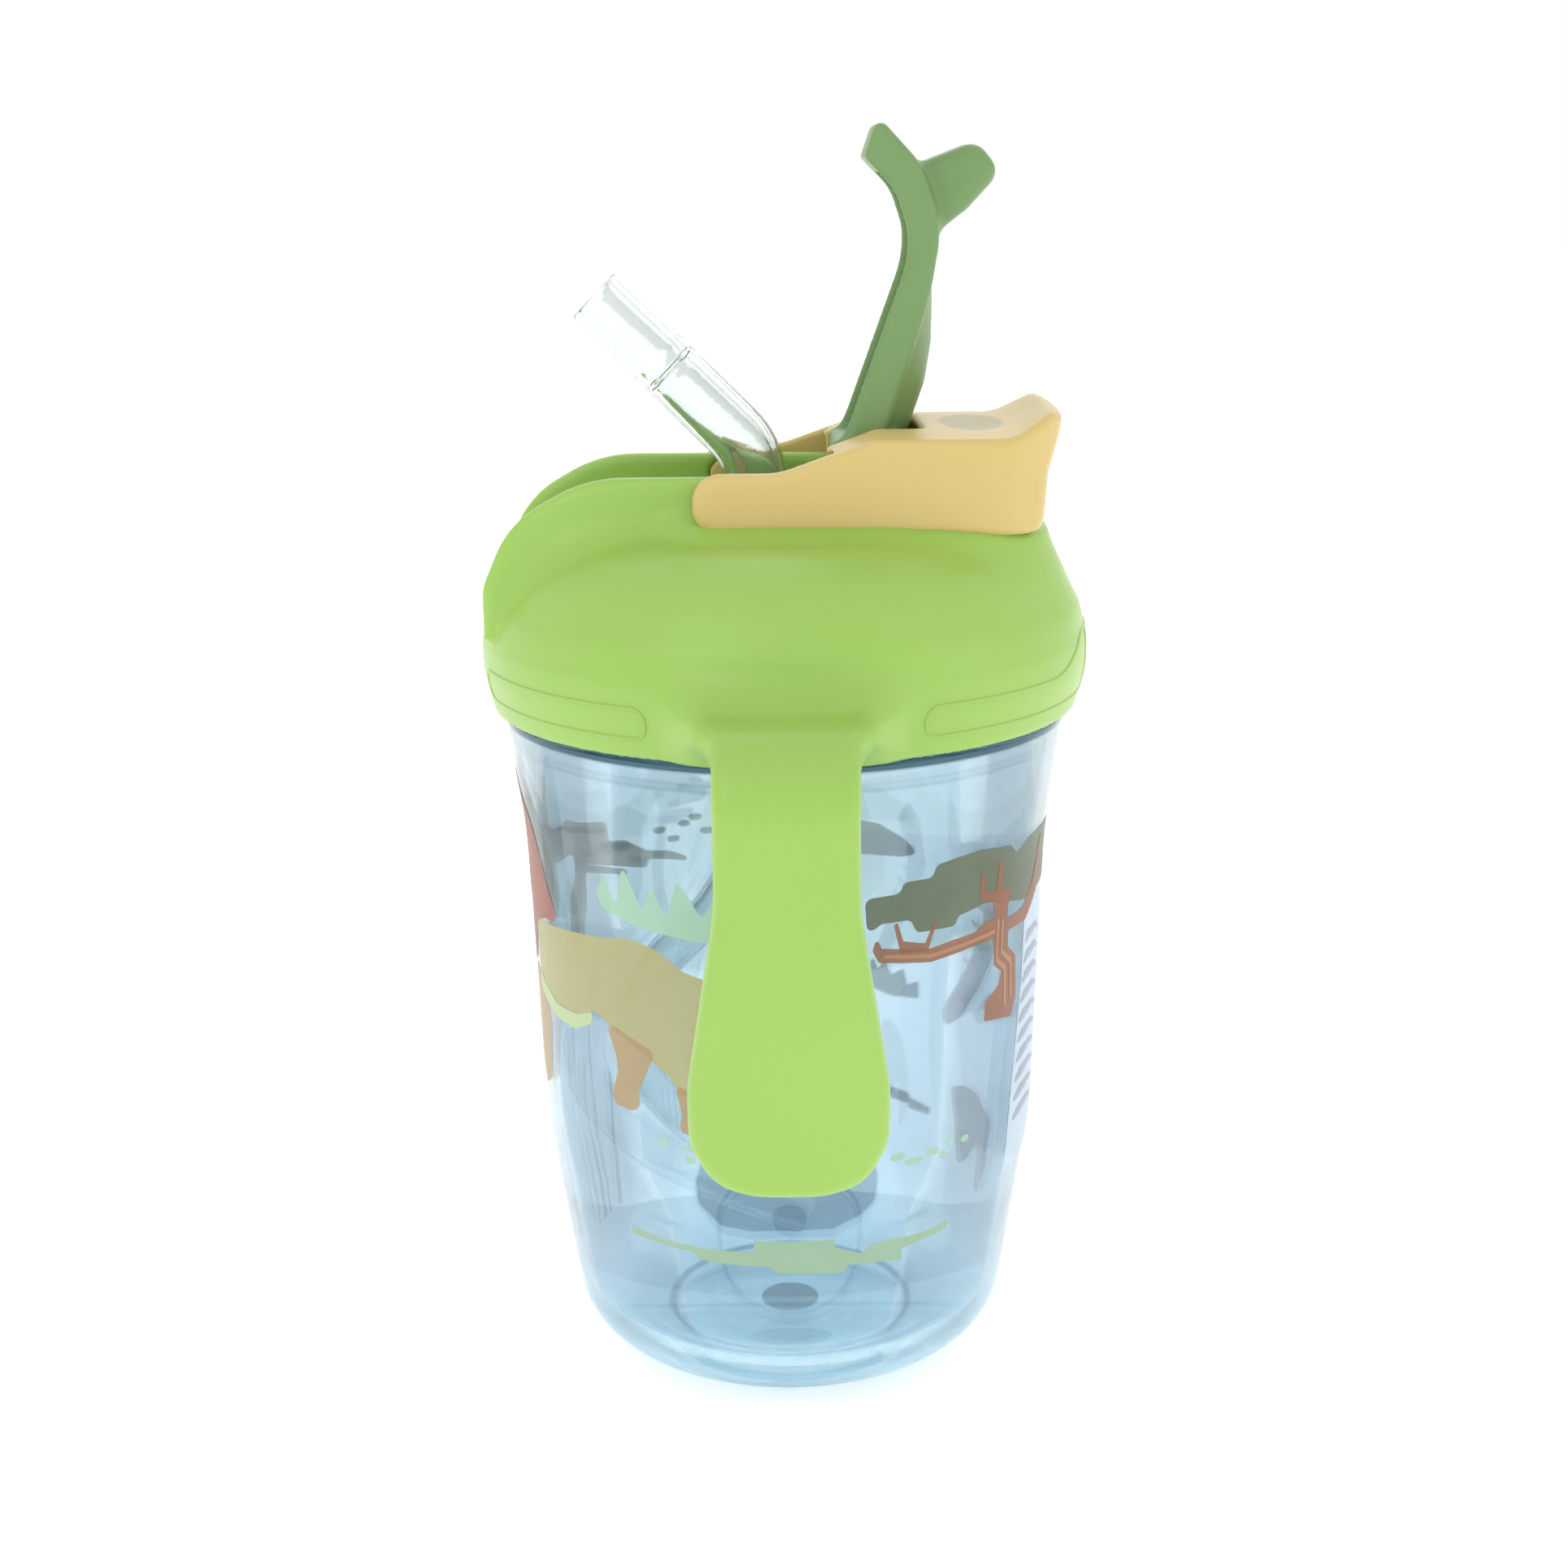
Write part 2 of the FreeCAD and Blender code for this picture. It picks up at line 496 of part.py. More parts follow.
# ------------------------------------------------------------------------ hinge frame
def make_hinge_frame():
    """Rear frame snapped over the rails: plate with upturned lip, two arms, two cheeks."""
    body = new_body("hinge_frame")
    top, skin = lift(cup.frame_top), cup.frame_skin
    side = [
        (cup.arm_end_x, lift(cup.arm_foot), cup.arm_end_round),
        (cup.arm_end_x, lift(cup.arm_top), cup.arm_end_round),
        (cup.frame_slope_x, lift(cup.arm_top), 6), (cup.frame_corner_x, top, 2),
        (cup.frame_lip_x, top, 4), (cup.lip_top_x, lift(cup.lip_top), 0.8),
        (cup.lip_tip_x, lift(cup.lip_tip), 0.8),
        (cup.frame_back_x, lift(cup.rail_top), 3), (cup.frame_back_x, lift(cup.arm_foot), 2),
    ]
    slab(body, "frame_side", "XZ", cup.frame_half * 2, side)
    hollow = [
        (cup.arm_end_x - 4, lift(cup.arm_foot) - 4), (cup.arm_end_x - 4, top + 8),
        (cup.frame_slope_x - 3, top + 8), (cup.frame_slope_x - 3, lift(cup.arm_top) - 0.2, 2),
        (cup.frame_corner_x, top - skin, 2), (cup.frame_back_x - skin, top - skin, 2),
        (cup.frame_back_x - skin, lift(cup.arm_foot) - 4),
    ]
    slab(body, "frame_hollow", "XZ", cup.arm_inner * 2, hollow, cut=True)
    slab(body, "cover_slot", "XZ", cup.slot_half * 2, [
        (cup.frame_slope_x - 6, lift(cup.arm_foot) - 2), (cup.frame_slope_x - 6, top + 8),
        (cup.slot_end_x, top + 8), (cup.slot_end_x, lift(cup.arm_foot) - 2)], cut=True)
    slab(body, "cheeks", "XZ", cup.cheek_half * 2, [
        (cup.hinge_x - cup.cheek_round, lift(cup.hinge_height) - cup.cheek_round, 3),
        (cup.hinge_x - cup.cheek_round, top - 2.6),
        (cup.hinge_x + cup.cheek_round, top - 0.6),
        (cup.hinge_x + cup.cheek_round, lift(cup.hinge_height) - cup.cheek_round, 3)])
    slab(body, "cheek_gap", "XZ", cup.slot_half * 2, cut=True, corners=[
        (cup.hinge_x - cup.cheek_round - 1, lift(cup.arm_foot) - 2),
        (cup.hinge_x - cup.cheek_round - 1, top + 2),
        (cup.hinge_x + cup.cheek_round + 1, top + 2),
        (cup.hinge_x + cup.cheek_round + 1, lift(cup.arm_foot) - 2)])
    slab(body, "hinge_bores", "XZ", cup.cheek_half * 2 + 1, cut=True, circle=(
        cup.hinge_x, lift(cup.hinge_height), cup.trunnion_radius + cup.hinge_clearance))
    slab(body, "snap_bosses", "XZ", cup.arm_inner * 2 + 0.6, circle=(
        cup.boss_x, lift(cup.boss_height), cup.boss_radius))
    slab(body, "boss_gap", "XZ", cup.rail_inner * 2, cut=True, circle=(
        cup.boss_x, lift(cup.boss_height), cup.boss_radius + 1))
    for name, side in (("front", -1), ("rear", 1)):
        slab(body, f"{name}_corner_cut", "XY", cup.frame_half * 2, cut=True, offset=top,
             corners=[
                 (cup.slot_end_x, cup.frame_half * side),
                 (cup.lip_tip_x, cup.frame_half * side, cup.corner_round),
                 (cup.lip_tip_x, cup.slot_half * 0.5 * side),
                 (cup.lip_tip_x + 2, cup.slot_half * 0.5 * side),
                 (cup.lip_tip_x + 2, (cup.frame_half + 2) * side),
                 (cup.slot_end_x, (cup.frame_half + 2) * side)])
    slab(body, "dimple", "XY", cup.dimple_depth * 2, cut=True, offset=top, circle=(
        cup.dimple_x, 0, cup.dimple_radius))
    return body


# ------------------------------------------------------------------------- flip cover
def make_flip_cover():
    """Cover that folds over the straw: open channel, thumb tab, hinge barrel, trunnions."""
    body = new_body("flip_cover")
    spine = cup.cover_spine
    slab(body, "cover_side", "XZ", cup.cover_half * 2, [
        (cup.cover_foot_x, lift(cup.cover_foot_height)),
        (cup.cover_elbow_x, lift(cup.cover_elbow_height), 8),
        (cup.cover_tip_x, lift(cup.cover_tip_height), 1),
        (cup.cover_top_x, lift(cup.cover_top_height), 1.5),
        (cup.tab_notch_x, lift(cup.tab_notch_height), 8),
        (cup.cover_back_x, lift(cup.cover_back_height), 8),
        (cup.cover_heel_x, lift(cup.cover_heel_height), 2)])
    slab(body, "cover_channel", "XZ", (cup.cover_half - cup.cover_wall) * 2, cut=True,
         corners=[
             (cup.cover_foot_x - 3, lift(cup.cover_foot_height) + 1),
             (cup.cover_elbow_x - 5, lift(cup.cover_elbow_height)),
             (cup.cover_tip_x - 3, lift(cup.cover_tip_height) - 3),
             (cup.cover_top_x - spine, lift(cup.cover_top_height) - spine),
             (cup.tab_notch_x - spine, lift(cup.tab_notch_height) - spine, 6),
             (cup.cover_back_x - spine, lift(cup.cover_back_height), 6),
             (cup.cover_heel_x - spine, lift(cup.cover_foot_height) + 1)])
    slab(body, "thumb_tab", "XZ", cup.tab_half * 2, [
        (cup.tab_notch_x - 0.4, lift(cup.tab_notch_height) - 1),
        (cup.tab_top_x, lift(cup.tab_top_height), 2),
        (cup.tab_tip_x, lift(cup.tab_tip_height), 1.5),
        (cup.tab_root_x + 3.4, lift(cup.tab_root_height) + 2.6, 3),
        (cup.tab_root_x - 1.4, lift(cup.tab_root_height) - 1)])
    slab(body, "hinge_leg", "XZ", cup.cover_half * 2, [
        (cup.cover_foot_x, lift(cup.cover_foot_height) + 0.6),
        (cup.cover_heel_x, lift(cup.cover_heel_height) + 0.6),
        (cup.cover_heel_x - 0.5, lift(cup.cover_heel_height) - 1.4, 1),
        (cup.hinge_x + cup.barrel_radius * 0.9, lift(cup.hinge_height)),
        (cup.hinge_x - cup.barrel_radius * 0.9, lift(cup.hinge_height))])
    slab(body, "hinge_barrel", "XZ", cup.cover_half * 2, circle=(
        cup.hinge_x, lift(cup.hinge_height), cup.barrel_radius))
    slab(body, "trunnions", "XZ", cup.trunnion_reach * 2, circle=(
        cup.hinge_x, lift(cup.hinge_height), cup.trunnion_radius))
    return body


# ------------------------------------------------------------------- assembly and files
PARTS = [make_tumbler(), make_lid(), make_lid_seal(), make_vent_valve(), make_straw_seat(),
         make_straw_spout(), make_dip_tube(), make_hinge_frame(), make_flip_cover()]
doc.recompute()

faults = [item.Name for item in doc.Objects
          if "Invalid" in item.State or "Error" in item.State]
for part in PARTS:
    if part.Shape.isNull() or not part.Shape.isValid():
        faults.append(f"{part.Label} shape")
if faults:
    raise RuntimeError(f"not built: {faults}")

os.makedirs("parts", exist_ok=True)
for part in PARTS:
    part.Shape.exportStep(f"parts/{part.Label}.step")
    box = part.Shape.BoundBox
    print(f"{part.Label:14s} {len(part.Shape.Solids)} solid  {part.Shape.Volume:9.1f} mm3  "
          f"x {box.XMin:6.1f} {box.XMax:6.1f}  y {box.YMin:6.1f} {box.YMax:6.1f}  "
          f"z {box.ZMin:6.1f} {box.ZMax:6.1f}")
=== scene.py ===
"""Flip-straw training cup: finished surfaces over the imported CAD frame.

Every section is one piece of the cup, from the tumbler up.  Sizes are in millimetres, with
heights taken above the lid's lower edge unless they say otherwise; put() turns them to metres.
"""
import math

import bpy
import numpy as np
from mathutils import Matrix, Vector
from mathutils.geometry import delaunay_2d_cdt


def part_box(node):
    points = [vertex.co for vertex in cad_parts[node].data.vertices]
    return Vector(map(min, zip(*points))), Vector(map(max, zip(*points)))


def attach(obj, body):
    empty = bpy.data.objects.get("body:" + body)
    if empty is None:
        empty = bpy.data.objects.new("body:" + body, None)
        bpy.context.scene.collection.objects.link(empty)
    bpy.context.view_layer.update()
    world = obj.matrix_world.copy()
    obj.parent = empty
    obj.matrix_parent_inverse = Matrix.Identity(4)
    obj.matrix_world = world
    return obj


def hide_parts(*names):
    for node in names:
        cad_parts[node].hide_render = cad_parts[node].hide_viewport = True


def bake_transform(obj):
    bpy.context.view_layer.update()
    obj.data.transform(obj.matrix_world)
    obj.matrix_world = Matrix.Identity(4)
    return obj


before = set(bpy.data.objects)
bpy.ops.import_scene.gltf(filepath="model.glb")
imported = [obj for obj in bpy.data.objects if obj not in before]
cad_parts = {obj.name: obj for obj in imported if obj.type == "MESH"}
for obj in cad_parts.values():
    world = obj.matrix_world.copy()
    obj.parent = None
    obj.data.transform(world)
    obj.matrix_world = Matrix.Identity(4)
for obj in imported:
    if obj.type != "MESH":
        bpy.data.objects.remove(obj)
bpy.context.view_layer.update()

# ------------------------------------------------------------------------------ tumbler
# Clear blue tumbler, injection moulded in a glossy rigid plastic.  A thin wall stands on a
# rolled heel, with a stepped floor, a gate mark in its middle and a two-start neck thread.
NECK = 10.0                                         # the neck's height above that edge
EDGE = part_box("tumbler")[1][2] * 1000 - NECK        # the lid's lower edge above the table
WALL = 1.8
NECK_RADIUS = 33.6
THREAD_LEAD = 6.0


def corner_path(corners, closed=True, steps=10):
    """Straight sides joined by tangent arcs.  A corner is (across, up) or (across, up, round);
    its arc starts round / tan(half angle) before the corner, at most 0.49 of the shorter side."""
    points = np.array([corner[:2] for corner in corners], float)
    drawn = []
    for k, corner in enumerate(corners):
        here = points[k]
        if len(corner) == 2 or (not closed and k in (0, len(corners) - 1)):
            drawn.append(here[None])
            continue
        back, ahead = points[k - 1] - here, points[(k + 1) % len(corners)] - here
        short = min(np.linalg.norm(back), np.linalg.norm(ahead))
        back, ahead = back / np.linalg.norm(back), ahead / np.linalg.norm(ahead)
        half = math.acos(np.clip(back @ ahead, -1, 1)) / 2
        reach = min(corner[2] / math.tan(half), 0.49 * short)
        radius = reach * math.tan(half)
        middle = (back + ahead) / np.linalg.norm(back + ahead)
        centre = here + middle * radius / math.sin(half)
        first, last = here + back * reach - centre, here + ahead * reach - centre
        start = math.atan2(first[1], first[0])
        sweep = (math.atan2(last[1], last[0]) - start + math.pi) % (2 * math.pi) - math.pi
        angle = start + sweep * np.linspace(0, 1, steps)
        drawn.append(centre + radius * np.stack([np.cos(angle), np.sin(angle)], 1))
    return np.concatenate(drawn)


def divided(path, step, closed=False):
    """The same path with every side cut into equal lengths of at most step."""
    ends = np.roll(path, -1, axis=0) if closed else path[1:]
    starts = path if closed else path[:-1]
    parts = [a + (b - a) * np.arange(n)[:, None] / n for a, b in zip(starts, ends)
             for n in [max(1, int(np.ceil(np.linalg.norm(b - a) / step)))]]
    return np.concatenate(parts if closed else parts + [path[-1:]])


def put(name, points, faces, sheet=False):
    """A smooth mesh object from points in millimetres.  A solid's signed volume is the sum of
    its triangles' corner triple products; where that is negative the faces are turned round,
    so that they point outwards.  A sheet keeps the faces it is given."""
    points = np.asarray(points, float)
    if not sheet:
        triangles = [points[[face[k] for face in faces]] for k in range(3)]
        second_halves = [points[[face[k] for face in faces if len(face) == 4]]
                         for k in (0, 2, 3)]
        if sum(np.sum(a * np.cross(b, c)) for a, b, c in (triangles, second_halves)) < 0:
            faces = [face[::-1] for face in faces]
    mesh = bpy.data.meshes.new(name)
    mesh.from_pydata((points / 1000).tolist(), [], [list(map(int, face)) for face in faces])
    mesh.shade_smooth()
    piece = bpy.data.objects.new(name, mesh)
    bpy.context.scene.collection.objects.link(piece)
    return piece


def grid_faces(rows, columns, wrap_rows, wrap_columns):
    """Quads between neighbouring rows and columns of a grid numbered row by row."""
    i = np.arange(rows if wrap_rows else rows - 1)[:, None]
    j = np.arange(columns if wrap_columns else columns - 1)[None, :]
    up, on = (i + 1) % rows, (j + 1) % columns
    quads = np.stack(np.broadcast_arrays(
        i * columns + j, up * columns + j, up * columns + on, i * columns + on), -1)
    return quads.reshape(-1, 4)


def turned_skin(profile, segments=256):
    """Profile points (radius, height) turned about the upright axis.  The profile starts and
    ends on the axis, where a fan of triangles closes each pole."""
    angle = np.arange(segments) / segments * 2 * math.pi
    rim = profile[1:-1]
    radius, height = rim[:, 0][None], rim[:, 1][None]
    points = np.stack(np.broadcast_arrays(radius * np.cos(angle)[:, None],
                                          radius * np.sin(angle)[:, None], height), -1)
    points = points.reshape(-1, 3)
    faces = grid_faces(segments, len(rim), True, False).tolist()
    count, ring = len(points), np.arange(segments) * len(rim)
    poles = [[0, 0, profile[0, 1]], [0, 0, profile[-1, 1]]]
    for pole, rows, turn in ((count, ring, 1), (count + 1, ring + len(rim) - 1, -1)):
        faces += [[pole, a, b][::turn] for a, b in zip(np.roll(rows, -1), rows)]
    return np.concatenate([points, poles]), faces


def helix_ridge(wall, outward, foot, start):
    """A ridge carried up a helix: a rounded trapezoid of (depth, height) whose place at turn t
    is foot + lead * t, fading into the wall over its first and last twelfth."""
    section = np.array([(-0.4, -0.6), (0.1, -0.6), (0.8, -0.38), (1.1, -0.1), (1.1, 0.1),
                        (0.8, 0.38), (0.1, 0.6), (-0.4, 0.6)])
    turns, rows, columns = 0.833, 140, len(section)
    t = np.linspace(0, turns, rows)[:, None]
    fade = np.clip(np.minimum(t, turns - t) * 12, 0, 1)
    depth = np.where(section[:, 0] > 0, section[:, 0] * fade, section[:, 0])
    radius = wall + outward * depth
    angle = 2 * math.pi * (t + start / 2)
    points = np.stack([radius * np.cos(angle), radius * np.sin(angle),
                       foot + THREAD_LEAD * t + section[:, 1] + 0 * angle], -1).reshape(-1, 3)
    faces = grid_faces(rows, columns, False, True).tolist()
    faces += [list(range(columns))[::-1], list(range((rows - 1) * columns, rows * columns))]
    return points, faces


def together(parts):
    """Several (points, faces) pairs as one."""
    points, faces, count = [], [], 0
    for some, sides in parts:
        points.append(np.asarray(some))
        faces += [[corner + count for corner in side] for side in sides]
        count += len(some)
    return np.concatenate(points), faces


class Signal:
    """An output of a material's node.  Adding to it, taking from it or multiplying it adds a
    Math node."""

    def __init__(self, tree, socket=None):
        self.tree, self.socket = tree, socket

    def node(self, kind, inputs=(), out=0, **settings):
        """Any other node: its settings first, then its inputs' values or links."""
        made = self.tree.nodes.new(kind)
        for name, value in settings.items():
            setattr(made, name, value)
        for name, value in dict(inputs).items():
            if isinstance(value, Signal):
                self.tree.links.new(value.socket, made.inputs[name])
            else:
                made.inputs[name].default_value = value
        return Signal(self.tree, made.outputs[out])

    def maths(self, operation, first, second):
        return self.node("ShaderNodeMath", {0: first, 1: second}, operation=operation)

    def __add__(self, other):
        return self.maths("ADD", self, other)

    def __radd__(self, other):
        return self.maths("ADD", other, self)

    def __sub__(self, other):
        return self.maths("SUBTRACT", self, other)

    def __mul__(self, other):
        return self.maths("MULTIPLY", self, other)

    def __rmul__(self, other):
        return self.maths("MULTIPLY", other, self)


def paint(red, green, blue):
    """A colour given as 0-255 display values, turned to linear light by the sRGB curve."""
    share = np.array([red, green, blue]) / 255
    linear = np.where(share <= 0.04045, share / 12.92, ((share + 0.055) / 1.055) ** 2.4)
    return (*map(float, linear), 1.0)


def new_finish(name, **fixed):
    """A material with one Principled shader: fixed values go straight on its sockets.
    Returns the material, its shader and a Signal to start nodes from."""
    material = bpy.data.materials.new(name)
    material.use_nodes = True
    tree = material.node_tree
    shader = tree.nodes["Principled BSDF"]
    for socket, value in fixed.items():
        shader.inputs[socket.replace("_", " ")].default_value = value
    return material, shader, Signal(tree)


def feed(shader, start, **links):
    """Link signals to the shader's sockets by name."""
    for socket, value in links.items():
        start.tree.links.new(value.socket, shader.inputs[socket.replace("_", " ")])


def speckle(start, scale, detail=2.0, roughness=0.5):
    """Noise on object coordinates, 0 to 1; scale is in waves to the metre."""
    place = start.node("ShaderNodeTexCoord", out="Object")
    return start.node("ShaderNodeTexNoise", {"Vector": place, "Scale": scale,
                                             "Detail": detail, "Roughness": roughness})


def mixed(start, factor, first, second):
    """Two colours mixed by a signal."""
    return start.node("ShaderNodeMix", {"Factor": factor, 6: first, 7: second}, out=2,
                      data_type="RGBA")


def band(start, value, low, high, soft):
    """1 where a length in metres lies between low and high, falling to 0 within soft of
    either.  Those three are in millimetres."""
    rise = start.node("ShaderNodeMapRange", {"Value": value, "From Min": low / 1000,
                                             "From Max": (low + soft) / 1000})
    fall = start.node("ShaderNodeMapRange", {"Value": value, "From Min": high / 1000,
                                             "From Max": (high - soft) / 1000})
    return rise * fall


def clear_blue():
    """Glossy clear plastic: bluer where it is seen edge on, with a faint glow of painted light
    all over.  The thick base is painted paler and its glow is stronger; painted shade darkens the
    foot ring's walls and a line along the shoulder, and a painted shadow lies under the lid's
    edge.  It has faint flow waves and a fine handling haze."""
    material, shader, start = new_finish(
        "clear_blue_plastic", Transmission_Weight=1.0, IOR=1.36, Emission_Strength=0.16)
    flow = speckle(start, 55.0)
    haze = speckle(start, 900.0, 3.0)
    place = start.node("ShaderNodeTexCoord", out="Object")
    level = start.node("ShaderNodeVectorMath", {0: place, 1: (1, 1, 0)}, operation="MULTIPLY")
    away = start.node("ShaderNodeVectorMath", {0: level}, out="Value", operation="LENGTH")
    height = start.node("ShaderNodeSeparateXYZ", {"Vector": place}, out="Z")
    edge_on = start.node("ShaderNodeLayerWeight", {"Blend": 0.44}, out="Facing")
    # Painted light: the thick base gets a paler tint and a brighter emission colour.
    base = band(start, height, -12, 15, 9)
    painted_glow = mixed(start, base, paint(22, 28, 32), paint(150, 200, 218))
    tint = mixed(start, flow, paint(194, 214, 224), paint(200, 219, 229))
    tint = mixed(start, base, tint, paint(222, 243, 250))
    tint = mixed(start, edge_on, tint, paint(84, 140, 170))
    # Painted shade: the foot ring's walls are tinted darker and made more opaque.
    ring = band(start, away, 15.9, 17.3, 0.4) * band(start, height, -1, 4.9, 0.1)
    tint = mixed(start, ring, tint, paint(44, 92, 122))
    # Painted shade: a darker line along the shoulder below the lid.
    tint = mixed(start, band(start, height, EDGE - 4.2, EDGE - 3.3, 0.3) * 0.6, tint,
                 paint(84, 128, 152))
    # Painted shadow: a dark band just under the lid's lower edge, also made more opaque.
    gap = band(start, height, EDGE - 1.7, EDGE + 0.4, 0.4)
    tint = mixed(start, gap, tint, paint(24, 48, 58))
    wave = start.node("ShaderNodeBump", {"Height": flow, "Strength": 0.05, "Distance": 0.002})
    feed(shader, start, Base_Color=tint, Emission_Color=painted_glow, Roughness=0.012 + 0.03 * haze,
         Normal=wave, Alpha=0.74 + 0.26 * gap + 0.2 * ring)
    return material


tumbler_profile = divided(corner_path([
    (0, 1.5), (15.9, 1.5, 0.3), (16.6, 0, 0.4), (19, 0, 8), (28.7, 5.7, 9),
    (33, 33.5, 60), (34.4, 74, 60), (36.8, EDGE - 0.4, 0.5), (NECK_RADIUS, EDGE - 0.4, 0.4),
    (NECK_RADIUS, EDGE + NECK, 0.6), (NECK_RADIUS - WALL, EDGE + NECK, 0.6),
    (NECK_RADIUS - WALL, EDGE - 0.4, 3), (32.6, 74, 60), (31.2, 33.5, 60),
    (26.9, 7.5, 7.2), (17.4, 4.6, 3), (16.6, 4.1, 0.5), (0, 4.1)], steps=14), 3.0)
tumbler_profile[0, 0] = tumbler_profile[-1, 0] = 0
tumbler = put("tumbler_shell", *turned_skin(tumbler_profile))
neck_thread = put("neck_thread", *together(
    [helix_ridge(NECK_RADIUS, 1, EDGE + 1.6, start) for start in range(2)]))
gate = put("gate_mark", *turned_skin(corner_path([
    (0, 4.05), (4.0, 4.05, 0.1), (4.0, 4.3, 0.1), (0, 4.4)]), 96))
clear_blue_finish = clear_blue()
gate_finish, gate_shader, gate_start = new_finish("frosted_gate", Alpha=0.62)
frost = mixed(gate_start, speckle(gate_start, 700.0), paint(108, 128, 140),
              paint(122, 142, 154))
feed(gate_shader, gate_start, Base_Color=frost,
     Roughness=0.4 + 0.2 * speckle(gate_start, 2600.0))
for piece, finish in ((tumbler, clear_blue_finish), (neck_thread, clear_blue_finish),
                      (gate, gate_finish)):
    piece.data.materials.append(finish)
    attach(piece, "tumbler")
    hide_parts("tumbler")

# ------------------------------------------------------------------------ printed scenes
# Inks printed round the outside of the tumbler, nearly opaque: a plain savanna of flat
# shapes, with a maned cat, a striped grazer, thorn trees, grass, pebbles and low hills.
PRINT_GAP = 0.05
PRINT_RADIUS = 34.0                                 # on which the shapes are laid out flat
outer = tumbler_profile[:np.argmax(tumbler_profile[:, 0]) + 1]


def wall_radius(height):
    """Outer radius of the tumbler at a height above the table."""
    return np.interp(height, outer[:, 1], outer[:, 0])


def printed(name, ink, shapes, rounding=0.5, lift=0.0):
    """Flat shapes wrapped on the wall.  A shape is (degrees round from the front, height)
    corners; it is laid out flat, filled with triangles about 2 mm wide, and point (a, h) goes
    to (radius(h) sin a, -radius(h) cos a, h)."""
    parts = []
    across, width = PRINT_RADIUS * math.pi / 180, 2.0
    for shape in shapes:
        corners = [(a * across, h, rounding) for a, h in shape]
        rim = divided(corner_path(corners, steps=4), 1.5, closed=True)
        low, high = rim.min(0), rim.max(0)
        inner = np.stack(np.meshgrid(np.arange(low[0], high[0], width),
                                     np.arange(low[1], high[1], width)), -1).reshape(-1, 2)
        flat = [Vector(point) for point in np.concatenate([rim, inner]).tolist()]
        ends = list(range(len(rim)))
        points, _, faces, *_ = delaunay_2d_cdt(flat, [], [ends], 1, 1e-4)
        points = np.array([tuple(point) for point in points])
        angle, height = points[:, 0] / PRINT_RADIUS, points[:, 1]
        radius = wall_radius(height) + PRINT_GAP + lift
        wrapped = np.stack([radius * np.sin(angle), -radius * np.cos(angle), height], 1)
        kept = []
        for face in faces:
            a, b, c = (points[k] for k in face[:3])
            turn = (b[0] - a[0]) * (c[1] - a[1]) - (b[1] - a[1]) * (c[0] - a[0])
            kept.append(list(face) if turn > 0 else list(face)[::-1])
        parts.append((wrapped, kept))
    piece = put(name, *together(parts), sheet=True)
    piece.data.materials.append(ink)
    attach(piece, "tumbler")
    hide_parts("tumbler")


def ink(name, dark, light, painted_glow=0.08):
    """Screen ink: two close tones in soft patches, with a fine dot grain in its gloss, and a
    glow of painted light in its own tone, as strong as the last argument.
    """
    material, shader, start = new_finish(f"ink_{name}", Alpha=0.92, Emission_Strength=painted_glow)
    patch, grain = speckle(start, 260.0), speckle(start, 4200.0)
    tone = mixed(start, patch, paint(*dark), paint(*light))
    dots = start.node("ShaderNodeBump", {"Height": grain, "Strength": 0.1,
                                         "Distance": 0.0001})
    feed(shader, start, Base_Color=tone, Emission_Color=tone, Normal=dots,
         Roughness=0.42 + 0.12 * (grain - 0.5))
    return material


# An ink's fourth number, where given, is the strength of its painted light; the rest have 0.08.
tan_ink = ink("tan", (157, 154, 102), (165, 160, 108))
tan_dark_ink = ink("tan_shade", (156, 132, 92), (166, 142, 100))
mane_ink = ink("mane", (128, 70, 50), (152, 84, 58))
belly_ink = ink("belly", (166, 186, 132), (174, 192, 140))
olive_ink = ink("olive", (76, 86, 56), (86, 96, 66))
bark_ink = ink("bark", (124, 74, 44), (138, 86, 52))
bark_light_ink = ink("bark_light", (158, 112, 80), (170, 126, 92))
grass_ink = ink("grass", (146, 184, 158), (154, 192, 166))
ground_ink = ink("ground", (136, 166, 134), (144, 172, 142))
pale_ink = ink("pale", (206, 216, 222), (216, 224, 228), 0.2)
slate_ink = ink("slate", (142, 156, 176), (152, 166, 184), 0.34)
far_green_ink = ink("far_green", (96, 116, 104), (108, 128, 114), 0.16)
far_crown_ink = ink("far_crown", (46, 62, 54), (58, 74, 64), 0.04)
far_bark_ink = ink("far_bark", (72, 70, 88), (86, 84, 100), 0.06)
dusk_ink = ink("dusk", (128, 132, 150), (140, 146, 162), 0.34)
hide_ink = ink("hide", (172, 190, 204), (182, 199, 212))
reed_ink = ink("reed", (140, 168, 150), (152, 180, 160), 0.4)

printed("print_cat_body", tan_ink, [[
    (-74, 64), (-66, 64.4), (-55, 65.2), (-43, 66), (-34, 66.8), (-28, 66), (-22, 63.6),
    (-8, 61.4), (-8, 60.4), (-18.4, 60.2), (-18.2, 56), (-19.6, 50), (-21.6, 45.4),
    (-26, 49.4), (-32, 51.6), (-39, 53.6), (-46, 55.8), (-53, 54.0), (-62, 53.8),
    (-74, 56.5)]], 1.8)
printed("print_cat_legs", tan_dark_ink, [
    [(-43.5, 55.2), (-36, 53.6), (-29.5, 52.2), (-32.5, 48.4), (-34.4, 46.2), (-33.6, 44.6),
     (-36, 43.6), (-41.4, 43.8), (-41.6, 45.6), (-39.8, 48.4), (-40.2, 51)],
    [(-25.2, 49), (-20.6, 47), (-19.4, 43.6), (-20.0, 41.8), (-24.4, 42), (-23.4, 44.6)],
    [(-80, 57), (-70, 56), (-67, 50), (-70, 42), (-76, 40), (-84, 44)]],
    1.0, 0.02)
